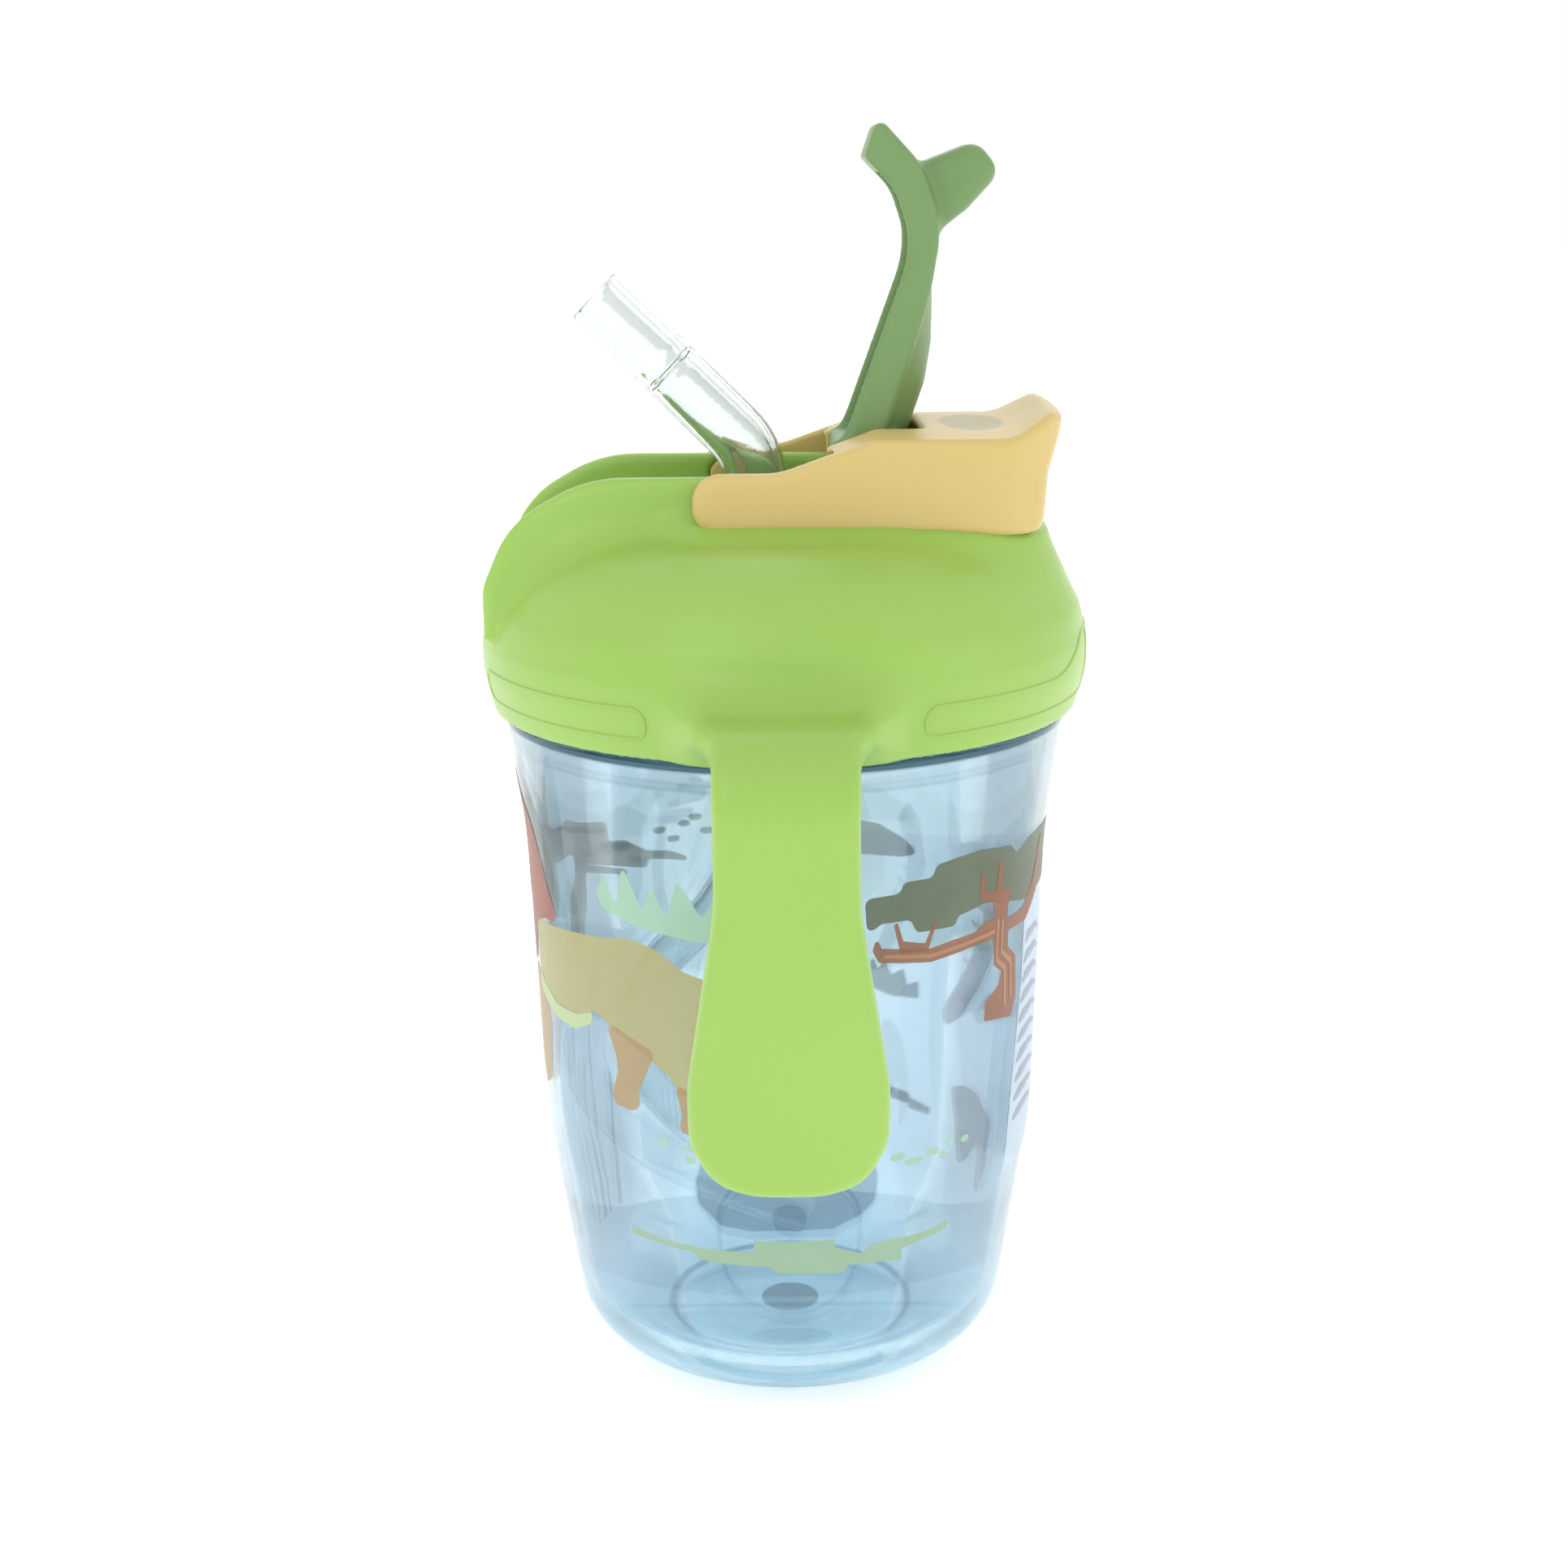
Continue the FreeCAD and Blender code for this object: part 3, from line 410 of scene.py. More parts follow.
printed("print_cat_belly", belly_ink, [[
    (-74, 56.4), (-62, 54.0), (-53, 54.2), (-46, 55.6), (-48, 53.6), (-54, 52.0),
    (-62, 52.0), (-74, 54.0)]], 0.6, 0.03)
printed("print_cat_mane", mane_ink, [[
    (-96, 82), (-88, 84), (-80, 82), (-71, 77.6), (-64, 70), (-58.4, 65.4), (-66, 65),
    (-74, 63.4), (-78, 57), (-90, 55.6), (-99, 59), (-104, 67), (-103, 75.6)]], 3.0, 0.03)
printed("print_cat_head", tan_ink, [[
    (-97, 77.4), (-88, 78.6), (-83, 74), (-84, 66.4), (-90, 62), (-97, 63.6), (-100.4, 70)]],
    3.0, 0.08)
printed("print_grass", grass_ink, [[
    (-46.4, 74.8), (-43.2, 71.4), (-41.2, 74.6), (-38, 70.6), (-35.4, 76.2), (-31, 70.6),
    (-28.8, 74.2), (-25.4, 70.2), (-22.6, 75.6), (-17.6, 70.8), (-13.6, 74.4), (-8, 71),
    (-8, 67.6), (-21, 67.8), (-33, 68.6), (-42, 70.2)]], 0.3)
printed("print_pebbles", grass_ink, [
    [(a - w, h), (a - w * 0.5, h + 0.5), (a + w * 0.6, h + 0.45), (a + w, h),
     (a + w * 0.5, h - 0.5), (a - w * 0.5, h - 0.45)]
    for a, h, w in ((-28.2, 40.3, 1.4), (-21.4, 40.1, 2.4), (-21.8, 38.5, 1.6),
                    (24.2, 38.4, 2.2), (28.2, 37.4, 2.9), (33.0, 38.0, 2.2),
                    (36.0, 37.2, 1.2), (37.6, 38.8, 1.2), (42.5, 38.4, 1.5))], 0.6)
printed("print_ground", ground_ink, [[
    (-39.4, 26.8), (-30, 26.2), (-21, 26.0), (-8.2, 26.2), (-8.2, 27.9), (10.4, 27.9),
    (10.0, 26.8), (16.8, 25.4), (18.4, 26.5), (24, 26.7), (31, 26.6), (39.8, 27.2),
    (39.2, 26.0), (31, 25.4), (26.6, 24.9), (27.0, 23.4), (13.6, 23.9), (12.5, 22.8),
    (-3.0, 23.2), (-4.2, 24.0), (-21.4, 24.2), (-22.6, 25.2), (-39.6, 25.7)]], 0.3)
printed("print_thorn_crown", olive_ink, [[
    (15.8, 73.2), (23.4, 73.4), (24.2, 74.8), (31, 74.8), (31.6, 76.4), (37, 76.8),
    (43, 77.0), (54, 76.2), (57.5, 74.6), (63, 76.0), (84, 76.4), (84, 68), (62, 67.6),
    (54, 68.6), (46, 69.6), (38, 69.0), (37.4, 67.8), (27.6, 68.0), (26, 69.8),
    (19.6, 69.8), (16.4, 68.6)]], 0.9)
printed("print_thorn_trunk", bark_ink, [
    [(18.4, 68.2), (19.6, 66.6), (31, 65.6), (36, 66.0), (43, 66.2), (47, 67.2),
     (49.6, 67.0), (49.2, 69.2), (44.6, 70.2), (44.2, 73.4), (45.6, 73.4), (46.2, 71.0),
     (49.8, 70.6), (50.4, 74.4), (51.6, 74.4), (51.8, 70.6), (55.4, 70.4), (54.6, 66.4),
     (62, 66.6), (68, 69.6), (72, 75), (74, 74), (71, 67.4), (64, 64.6), (55.2, 64.6),
     (55.6, 62.4), (59.4, 60.6), (60.6, 54.8), (58.4, 52.4), (47.4, 53.6), (47.6, 56.2),
     (52.4, 57.8), (53.2, 59.4), (50.0, 60.8), (49.6, 64.4), (43, 64.4), (31, 63.8),
     (19.0, 64.8), (17.6, 66.4)],
    [(23.0, 69.8), (24.4, 67.2), (29.6, 66.4), (31.6, 69.0), (32.4, 68.8), (30.4, 65.4),
     (23.8, 65.6), (22.2, 69.4)]], 0.3, 0.03)
printed("print_bark_lines", bark_light_ink, [
    [(51.4, 66.8), (51.2, 61.6), (55.0, 60.0), (55.6, 54.4), (54.8, 54.4), (54.0, 59.4),
     (50.6, 61.2), (50.6, 66.8)],
    [(53.2, 66.6), (53.0, 62.4), (57.2, 60.6), (58.2, 55.0), (57.4, 55.0), (56.4, 60.0),
     (52.4, 62.0), (52.4, 66.6)],
    [(20, 65.8), (31, 64.9), (43, 65.4), (50, 65.6), (50, 65.1), (43, 64.9), (31, 64.4),
     (20, 65.3)]], 0.2, 0.06)
printed("print_grazer_stripes", dusk_ink, [
    [(60.6 + 0.05 * k * k, 36.6 + 2.7 * k), (66, 38.4 + 2.7 * k), (73, 38.6 + 2.7 * k),
     (88 - k, 36.4 + 2.7 * k), (73, 37.6 + 2.7 * k), (66.4, 37.0 + 2.7 * k)]
    for k in range(10)], 0.3, 0.03)
printed("print_grazer_body", hide_ink, [
    [(63.4, 67.4), (70, 68.4), (84, 62), (92, 50), (86, 33), (70, 30), (59.6, 32),
     (60.4, 40), (62.0, 48), (63.6, 57)]], 1.0)
printed("print_far_thorn_crown", far_crown_ink, [[
    (-98, 75.6), (-98, 68.6), (-106, 67), (-115, 68.6), (-119, 66.2), (-128, 65.4),
    (-143.5, 64.2), (-143.5, 66), (-158, 64.4), (-150, 66.6), (-143.5, 67.2), (-137, 69.4),
    (-131, 69.8), (-130, 72.8), (-122, 73.4), (-113, 74.8), (-107, 73.8)]], 0.9)
printed("print_far_thorn_trunk", far_bark_ink, [
    [(-117, 68), (-114.5, 63.6), (-109.5, 60), (-107, 53.6), (-108.5, 48.6), (-117.5, 47.6),
     (-116, 53.6), (-119.5, 61), (-121, 63.8), (-136.5, 62.6), (-137, 64), (-121, 66),
     (-121, 68)]], 0.4, 0.03)
printed("print_far_dashes", far_green_ink, [
    [(a - 2, h), (a - 1, h + 0.5), (a + 1.4, h + 0.5), (a + 2, h), (a + 1, h - 0.5),
     (a - 1, h - 0.5)]
    for a, h in ((-147, 70), (-154, 70.6), (-151, 68.4), (-160, 69.2), (-157, 71.4),
                 (-163, 67), (-167, 70.2))], 0.3)
printed("print_far_hill", far_green_ink, [[
    (176, 71.2), (164, 70.6), (156, 70), (150, 68.4), (144.6, 66.2), (150, 65.4),
    (176, 65)]], 0.8)
printed("print_far_grass", far_green_ink, [
    [(158, 41.4), (157, 44.6), (155.0, 42.4), (153.4, 44.4), (151.4, 42.0), (148, 43.2),
     (146.6, 40.8), (143, 41.8), (142.6, 39), (151, 38.6), (158, 39.6)],
    [(152, 24.8), (144, 24.4), (143.8, 23.8), (136.5, 23.2), (136, 22.0), (144, 22.2),
     (144.2, 22.8), (152, 23.2)]], 0.3)
printed("print_far_grazer", dusk_ink, [
    [(126, 63.8), (120, 67.4), (111, 66), (105, 60), (110, 53), (120, 44), (127, 38.6),
     (134.5, 35.6), (134, 39.4), (126, 46), (119, 53), (119, 60)],
    [(129, 27.6), (123.4, 28.6), (117, 28.6), (107, 26), (103, 20), (108, 14), (113, 22),
     (117, 18.4), (120.6, 16.8), (124, 20.4)]], 0.8)
printed("print_far_grazer_stripes", pale_ink, [
    [(112 + 2.2 * k, 62.2 - 3.0 * k), (120 + 1.4 * k, 63.0 - 3.0 * k),
     (120 + 1.4 * k, 62.2 - 3.0 * k), (112.4 + 2.2 * k, 61.2 - 3.0 * k)]
    for k in range(8)], 0.2, 0.03)
printed("print_far_reeds", reed_ink, [
    [(a, 12), (a - 2 - k, top), (a - 2.9 - k, top - 1), (a - 1.8, 12)]
    for k, (a, top) in enumerate(((-96, 40), (-101, 46), (-106, 36), (-110, 42),
                                  (-117, 32)))], 0.2)
printed("print_far_river_beast", slate_ink, [[
    (151.4, 6.5), (152, 11), (155.5, 14.5), (163, 16), (174, 16.4), (186, 16.4),
    (198, 16), (206, 14.2), (210, 10), (210.5, 6.5), (206, 3.2), (195, 2.2), (178, 2.0),
    (163, 2.4), (155, 4.0)]], 2.2)

# ------------------------------------------------------------------- lid seal and valve
# A flat silicone ring squeezed between the tumbler's rim and the lid's shelf, and the small
# silicone duckbill that lets air in.  Both keep their CAD shape.


def silicone(name, tone, haze, fine):
    """Soft clear silicone with a light milky tone, darker where it is seen edge on.  Haze is
    its roughness, and fine the waves to the metre of its mould grain."""
    material, shader, start = new_finish(name, Transmission_Weight=0.96, IOR=1.41,
                                         Specular_IOR_Level=0.5)
    cloud, grain = speckle(start, 120.0), speckle(start, fine)
    tint = mixed(start, cloud, paint(*tone), paint(*(min(255, c + 6) for c in tone)))
    edge_on = start.node("ShaderNodeLayerWeight", {"Blend": 0.3}, out="Facing")
    tint = mixed(start, edge_on * 0.8, tint, paint(*(c - 50 for c in tone)))
    skin_bump = start.node("ShaderNodeBump", {"Height": grain, "Strength": 0.08,
                                              "Distance": 0.0002})
    feed(shader, start, Base_Color=tint, Roughness=haze + 0.05 * grain, Normal=skin_bump)
    return material


seal_finish = silicone("seal_silicone", (226, 234, 238), 0.22, 2400.0)
for node in ("lid_seal", "vent_valve"):
    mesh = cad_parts[node].data
    mesh.materials.clear()
    mesh.materials.append(seal_finish)

# ---------------------------------------------------------------------------------- lid
# Screw lid in satin green plastic: collar, dome, two rails with the straw's trough between
# them, a pedestal for the hinge frame and two hanging handles, all one moulding.


class Flat:
    """A closed outline kept as a table of signed distances, negative inside.  Each entry is
    the least distance to a side, with its sign from how many sides lie level to its right;
    at() reads between entries, and adds the way back to the table from outside it."""
    cell = 0.25

    def __init__(self, corners, margin=4.0):
        ring = corner_path(corners)
        self.low, high = ring.min(0) - margin, ring.max(0) + margin
        self.size = np.ceil((high - self.low) / self.cell).astype(int) + 1
        a = (self.low[0] + np.arange(self.size[0]) * self.cell)[:, None]
        b = (self.low[1] + np.arange(self.size[1]) * self.cell)[None, :]
        best = np.full(self.size, np.inf)
        inside = np.zeros(self.size, bool)
        for (a0, b0), (a1, b1) in zip(ring, np.roll(ring, -1, axis=0)):
            da, db = a1 - a0, b1 - b0
            if da * da + db * db < 1e-12:
                continue
            t = np.clip(((a - a0) * da + (b - b0) * db) / (da * da + db * db), 0, 1)
            best = np.minimum(best, (a - a0 - t * da) ** 2 + (b - b0 - t * db) ** 2)
            if db != 0:
                inside ^= ((b0 > b) != (b1 > b)) & (a < da * (b - b0) / db + a0)
        self.table = np.where(inside, -1, 1) * np.sqrt(best)

    def at(self, across, up):
        u = (across - self.low[0]) / self.cell
        v = (up - self.low[1]) / self.cell
        cu, cv = np.clip(u, 0, self.size[0] - 1.001), np.clip(v, 0, self.size[1] - 1.001)
        i, j = cu.astype(int), cv.astype(int)
        fu, fv = cu - i, cv - j
        table = self.table
        near = table[i, j] * (1 - fv) + table[i, j + 1] * fv
        far = table[i + 1, j] * (1 - fv) + table[i + 1, j + 1] * fv
        return near * (1 - fu) + far * fu + np.hypot(u - cu, v - cv) * self.cell


def joined(a, b, fillet):
    """Union of two distances with a round fillet: the lesser of the two, pushed out by the
    quarter circle where both are under fillet."""
    return (np.maximum(fillet, np.minimum(a, b))
            - np.hypot(np.maximum(fillet - a, 0), np.maximum(fillet - b, 0)))


def shared(a, b, edge_round):
    """What two solids share, its new edge rounded: the union of their outsides, inside out."""
    return -joined(-a, -b, edge_round)


def skin(distance, low, high, cell):
    """The surface where distance is zero.  Each grid cell that it crosses gets one point, the
    mean of the crossings on the cell's edges, and each crossed grid edge one quad.  Every
    point then steps by distance over slope along the slope, three times."""
    axes = [np.arange(a, b + cell, cell) for a, b in zip(low, high)]
    depth = distance(*np.meshgrid(*axes, indexing="ij"))
    cells = np.array(depth.shape) - 1
    stride = np.array([cells[1] * cells[2], cells[2], 1])
    total, count = np.zeros((3, cells.prod())), np.zeros(cells.prod())
    quads = []
    for axis in range(3):
        lead, trail = [slice(None)] * 3, [slice(None)] * 3
        lead[axis], trail[axis] = slice(1, None), slice(None, -1)
        d0, d1 = depth[tuple(trail)], depth[tuple(lead)]
        place = np.argwhere((d0 < 0) != (d1 < 0))
        v0, v1 = d0[tuple(place.T)], d1[tuple(place.T)]
        point = place.astype(float)
        point[:, axis] += v0 / (v0 - v1)
        u, v = (axis + 1) % 3, (axis + 2) % 3
        ring = []
        for du, dv in ((0, 0), (-1, 0), (-1, -1), (0, -1)):
            corner = place.copy()
            corner[:, u] += du
            corner[:, v] += dv
            flat = corner @ stride
            ring.append(flat)
            count += np.bincount(flat, minlength=len(count))
            for k in range(3):
                total[k] += np.bincount(flat, weights=point[:, k], minlength=len(count))
        ring = np.stack(ring, 1)
        quads.append(np.where((v0 < 0)[:, None], ring, ring[:, ::-1]))
    used = np.flatnonzero(count)
    number = np.zeros(len(count), int)
    number[used] = np.arange(len(used))
    points = (total[:, used] / count[used]).T * cell + np.array(low)
    probe, least_slope = 0.05, 0.5
    for _ in range(3):
        here = distance(*points.T)
        slope = np.stack([(distance(*(points + step).T) - distance(*(points - step).T))
                          / (2 * probe) for step in np.eye(3) * probe], 1)
        size = np.maximum(np.sum(slope * slope, 1), least_slope ** 2)
        points = points - slope * np.clip(here / size, -cell / 2, cell / 2)[:, None]
    points[:, 2] += EDGE
    return points, number[np.concatenate(quads)].tolist()


def moulded(name, dark, light, rough=0.36, soft=0.12, painted_shade_spot=None):
    """Satin moulded plastic: two close tones in broad soft clouds, a fine spark-eroded grain
    in bump and gloss, and some light carried under the surface.  A spot is a centre, its
    half-length along X and a darker tone painted inside it as shade; it is about 2.3 times
    as long along Y."""
    material, shader, start = new_finish(
        name, Subsurface_Weight=soft, Subsurface_Scale=0.004,
        Subsurface_Radius=(0.6, 1.0, 0.35), IOR=1.49, Specular_IOR_Level=0.5)
    cloud = speckle(start, 26.0, 1.0)
    grain = speckle(start, 3200.0, 2.0)
    wear = speckle(start, 210.0, 4.0, 0.6)
    tone = mixed(start, cloud, paint(*dark), paint(*light))
    if painted_shade_spot:
        centre, reach, shade_tone = painted_shade_spot
        place = start.node("ShaderNodeTexCoord", out="Object")
        drawn_in = start.node("ShaderNodeVectorMath", {0: place, 1: (1, 0.43, 1)},
                              operation="MULTIPLY")
        apart = start.node("ShaderNodeVectorMath", {0: drawn_in, 1: centre}, out="Value",
                           operation="DISTANCE")
        near = start.node("ShaderNodeMapRange", {
            "Value": apart, "From Min": reach * 1.08, "From Max": reach * 0.92})
        tone = mixed(start, near, tone, paint(*shade_tone))
    bump = start.node("ShaderNodeBump", {"Height": grain + 0.4 * wear, "Strength": 0.12,
                                         "Distance": 0.00008})
    feed(shader, start, Base_Color=tone, Normal=bump,
         Roughness=rough + 0.06 * (grain - 0.5) + 0.08 * (wear - 0.5))
    return material


dome_outline = [
    (0, 24.1), (27.6, 23.1, 24), (34.6, 19.2, 12), (38.3, 13.2, 6), (39.3, 9, 6),
    (39.3, 5.5, 12), (38, 0, 0.6)]
dome = Flat(dome_outline + [(0, 0)])
rails = Flat([(14, 30.6, 3), (-24.5, 30.6, 18), (-34.2, 25, 14), (-37.7, 17, 5), (-37.7, 10.4),
              (-36, 10.4), (-36, 11.6), (-31.5, 11.6), (-12, 19.4), (14, 19.4)])
trough = Flat([(-35.8, 17), (-35.8, 13.2), (-31.5, 13.2, 4), (-12, 21, 8), (15, 21),
               (15, 34.6), (-43, 34.6), (-43, 17)])
void = Flat([(0, -6), (36, -6), (36, 11.5), (31.4, 11.5), (29.8, 11.5), (29.8, 19.4, 1),
             (26, 21.3, 3), (0, 22.2)])
plug = Flat([(29.8, 1, 0.5), (31.4, 1, 0.5), (31.4, 14), (29.8, 20)])
handle_side = Flat([(37.4, 7), (56.6, 7, 15), (57.6, -22, 60), (54.2, -48.0, 2),
                    (49.7, -48.0, 2), (53.1, -22, 55), (52.1, 2.5, 10.5), (37.4, 2.5)])
handle_right = [(16, 12), (16, 0), (8.2, -1), (8.2, -12, 30), (11.6, -33.5, 24),
                (11.5, -40.4, 7), (9.0, -45.6, 7), (3.6, -48.0, 8)]
handle_face = Flat(handle_right + [(-a, b, *c) for a, b, *c in handle_right[::-1]])
handle_plan = Flat([(12.6, 34), (10.6, 42, 8), (8.3, 50, 12), (8.3, 53), (13, 53), (13, 62),
                    (-13, 62), (-13, 53), (-8.3, 53), (-8.3, 50, 12), (-10.6, 42, 8),
                    (-12.6, 34)])
pedestal = Flat([(-12.5, 16.8, 3), (33.2, 16.8, 10), (33.2, -16.8, 10), (-12.5, -16.8, 3)])


def lid_distance(x, y, z):
    """Dome with rails, pedestal and handles filleted on, less the void, trough and holes.
    The handles follow the plan view above their root and the face view below it."""
    rail_outer, rail_inner, rail_skin = 14.5, 11.5, 1.4
    handle_root, handle_out, neck_half = -1.5, 53.0, 8.3
    away, side = np.hypot(x, y), np.abs(y)
    shell = dome.at(away, z)
    block = shared(rails.at(x, z), side - rail_outer, 1.2)
    stand = shared(pedestal.at(x, y), np.maximum(z - 23.5, 12 - z), 0.6)
    body = joined(joined(shell, stand, 5.0), block, np.interp(x, [-37.5, -27], [0.5, 4.5]))
    across = np.where(z > handle_root, np.minimum(handle_plan.at(x, side), 9.0), -9.0)
    across = np.where((z > handle_root) & (side > handle_out), np.abs(x) - neck_half, across)
    strap = shared(handle_side.at(side, z), np.maximum(handle_face.at(x, z), across), 1.8)
    body = joined(body, strap, 5.0)
    under = shared(rails.at(x, z), side - (rail_outer - rail_skin), 0.5)
    hollow = np.maximum(void.at(away, z), -under)
    body = shared(body, -hollow, 0.5)
    body = np.minimum(body, plug.at(away, z))
    body = shared(body, -shared(trough.at(x, z), side - rail_inner, 1.0), 0.9)
    straw_hole = 4.1 - np.hypot(x + 2.5, y)
    vent_hole = 1.75 - np.hypot(x - 22, y)
    boss_holes = np.minimum(2.08 - np.hypot(x + 7.8, z - 27.9), side - 11.0)
    body = np.maximum(body, straw_hole)
    body = np.where(np.abs(z - 24) < 6, np.maximum(body, vent_hole), body)
    return np.maximum(body, boss_holes)


lid = put("lid_moulding", *skin(lid_distance, (-41.0, -59.5, -49.5), (41.0, 59.5, 32.5),
                                0.66))
lid_thread = put("lid_thread", *together(
    [helix_ridge(36.0, -1, EDGE + 3.1, start) for start in range(2)]))
green_finish = moulded("satin_green_plastic", (145, 184, 80), (152, 190, 87))


COLLAR = 39.0                                       # radius on which they are laid out flat


def bead(loop):
    """A fine round bead laid on the collar: corners (way round, height) give a closed line on
    the dome's outline, and eight points circle it in the radial and cross directions."""
    radius, sunk, sides = 0.30, 0.14, 8
    line = divided(corner_path(loop, steps=8), 0.9, closed=True)
    face = corner_path(dome_outline)
    away = np.interp(line[:, 1], face[::-1, 1], face[::-1, 0]) - sunk
    angle = line[:, 0] / COLLAR
    middle = np.stack([away * np.sin(angle), -away * np.cos(angle), line[:, 1]], 1)
    ahead = np.roll(middle, -1, axis=0) - np.roll(middle, 1, axis=0)
    ahead /= np.linalg.norm(ahead, axis=1)[:, None]
    out = np.stack([np.sin(angle), -np.cos(angle), 0 * angle], 1)
    cross = np.cross(ahead, out)
    t = np.arange(sides) / sides * 2 * math.pi
    points = (middle[:, None] + radius * (np.cos(t)[None, :, None] * out[:, None]
                                          + np.sin(t)[None, :, None] * cross[:, None]))
    points[..., 2] += EDGE
    return points.reshape(-1, 3), grid_faces(len(line), sides, True, True).tolist()


HALF_TURN = COLLAR * math.pi
short_grip = [(-17, 2.6, 1.8), (-17, 6.4, 1.8), (-50.4, 6.4, 1.8), (-50.4, 2.6, 1.8)]
long_grip = [(17, 2.6, 1.8), (17, 6.4, 1.8), (42, 6.4, 14), (50, 10.4, 10), (69, 10.4, 1.8),
             (69, 2.6, 1.8)]
grips = put("lid_grip_beads", *together(
    [bead([(a + turn, *rest) for a, *rest in loop])
     for loop, turn in ((short_grip, 0), (long_grip, 0),
                        ([(-a, *rest) for a, *rest in short_grip], HALF_TURN),
                        ([(-a, *rest) for a, *rest in long_grip], HALF_TURN))]))
for piece in (lid, lid_thread, grips):
    piece.data.materials.append(green_finish)
    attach(piece, "lid")
    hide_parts("lid")

# ------------------------------------------------------------------------ straw and tube
# One soft silicone straw, pushed up through the trough's floor and held by its flange, and
# bent where it leaves the lid; a softer clear tube in its socket reaches down to the floor.


def bent(profile, route, segments=48):
    """A turned tube whose axis is bent along a route in the XZ plane.  A profile point
    (radius, way) goes to route(way) + radius (cos t across + sin t Y), where across is the
    route's normal in its plane."""
    way = np.concatenate([[0], np.cumsum(np.linalg.norm(np.diff(route, axis=0), axis=1))])
    slope = np.gradient(route, way, axis=0)
    s = profile[:, 1]
    centre = np.stack([np.interp(s, way, route[:, k]) for k in range(2)], 1)
    ahead = np.stack([np.interp(s, way, slope[:, k]) for k in range(2)], 1)
    ahead /= np.linalg.norm(ahead, axis=1)[:, None]
    t = np.arange(segments)[:, None] / segments * 2 * math.pi
    radius = profile[:, 0][None]
    points = np.stack([centre[:, 0] + radius * np.cos(t) * ahead[:, 1],
                       radius * np.sin(t) + 0 * centre[:, 0],
                       centre[:, 1] - radius * np.cos(t) * ahead[:, 0] + EDGE], -1)
    return points.reshape(-1, 3), grid_faces(segments, len(profile), True, True).tolist()


straw_route = divided(corner_path([
    (-2.5, 8), (-2.5, 26.5, 7), (-4.6, 33.2, 9), (-23.8, 52.1)], closed=False, steps=16), 0.5)
straw_length = float(np.sum(np.linalg.norm(np.diff(straw_route, axis=0), axis=1)))
RIDGE = straw_length - 14.5
straw_profile = divided(corner_path([
    (2.85, 0, 0.3), (4.4, 0, 0.5), (4.4, 9.2, 0.5), (8, 9.2, 0.6), (8, 11.3, 0.6),
    (4.0, 11.3, 0.6), (4.0, RIDGE), (4.12, RIDGE + 0.5), (4.0, RIDGE + 1.0),
    (4.0, RIDGE + 2.0), (4.12, RIDGE + 2.5), (4.0, RIDGE + 3.0), (4.0, straw_length, 0.6),
    (2.7, straw_length, 0.6), (2.7, RIDGE + 1.6, 0.3), (2.2, RIDGE + 1.2, 0.2),
    (2.7, RIDGE + 0.8, 0.3), (2.7, 10, 0.5), (2.1, 9.2), (2.1, 8.5), (2.85, 8.5)]),
    0.8, closed=True)
straw = put("soft_straw", *bent(straw_profile, straw_route))
straw_finish = silicone("straw_silicone", (236, 241, 240), 0.05, 1500.0)
straw.data.materials.append(straw_finish)
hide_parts("straw_seat", "straw_spout")
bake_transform(straw)

tube_route = divided(corner_path([
    (-2.5, 16.4), (-2.5, -4, 40), (-6, -20, 40), (-10.7, -30, 18), (-17.2, -36.5, 14),
    (-21.5, -45, 11), (-19.8, -53.2, 12), (-14, -60, 16), (-6, -64.6, 40), (2, -68)],
    closed=False, steps=16), 0.6)
tube_length = float(np.sum(np.linalg.norm(np.diff(tube_route, axis=0), axis=1)))
tube_profile = divided(corner_path([
    (1.9, 0, 0.2), (2.8, 0, 0.2), (2.8, tube_length, 0.2), (1.9, tube_length, 0.2)]),
    1.0, closed=True)
tube = put("dip_tube_soft", *bent(tube_profile, tube_route, 40))
tube_finish = silicone("tube_silicone", (232, 240, 242), 0.08, 1500.0)
tube.data.materials.append(tube_finish)
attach(tube, "lid")
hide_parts("dip_tube")

# -------------------------------------------------------------------------- hinge frame
# Butter-yellow frame snapped over the rails by two bosses: a plate with a thumb dish and an
# upturned lip, two arms outside the rails and two cheeks that carry the cover's trunnions.
HINGE = (9.2, 28.6)                                 # the cover's axis in the side view
frame_side = Flat([
    (-11.2, 23.6, 3.6), (-11.2, 31.3, 3.4), (-0.5, 31.3, 9), (11.4, 36.2, 3),
    (28.4, 36.2, 7), (33.2, 38.8, 1.2), (35.3, 37.6, 1.0), (32.9, 31, 6), (32.2, 23.6, 2)])
frame_plan = Flat([(-12, 17.8), (35.3, 17.8, 11), (35.3, -17.8, 11), (-12, -17.8)])
frame_hollow = Flat([(-15.2, 20.6), (-15.2, 44.2), (5.0, 44.2), (5.0, 33.2, 1),
                     (11.4, 34.3, 2), (30.4, 34.3, 3), (30.4, 20.6)])
cheek_side = Flat([(5.8, 25.2, 3), (5.8, 33.6), (12.6, 35.6), (12.6, 25.2, 3)])


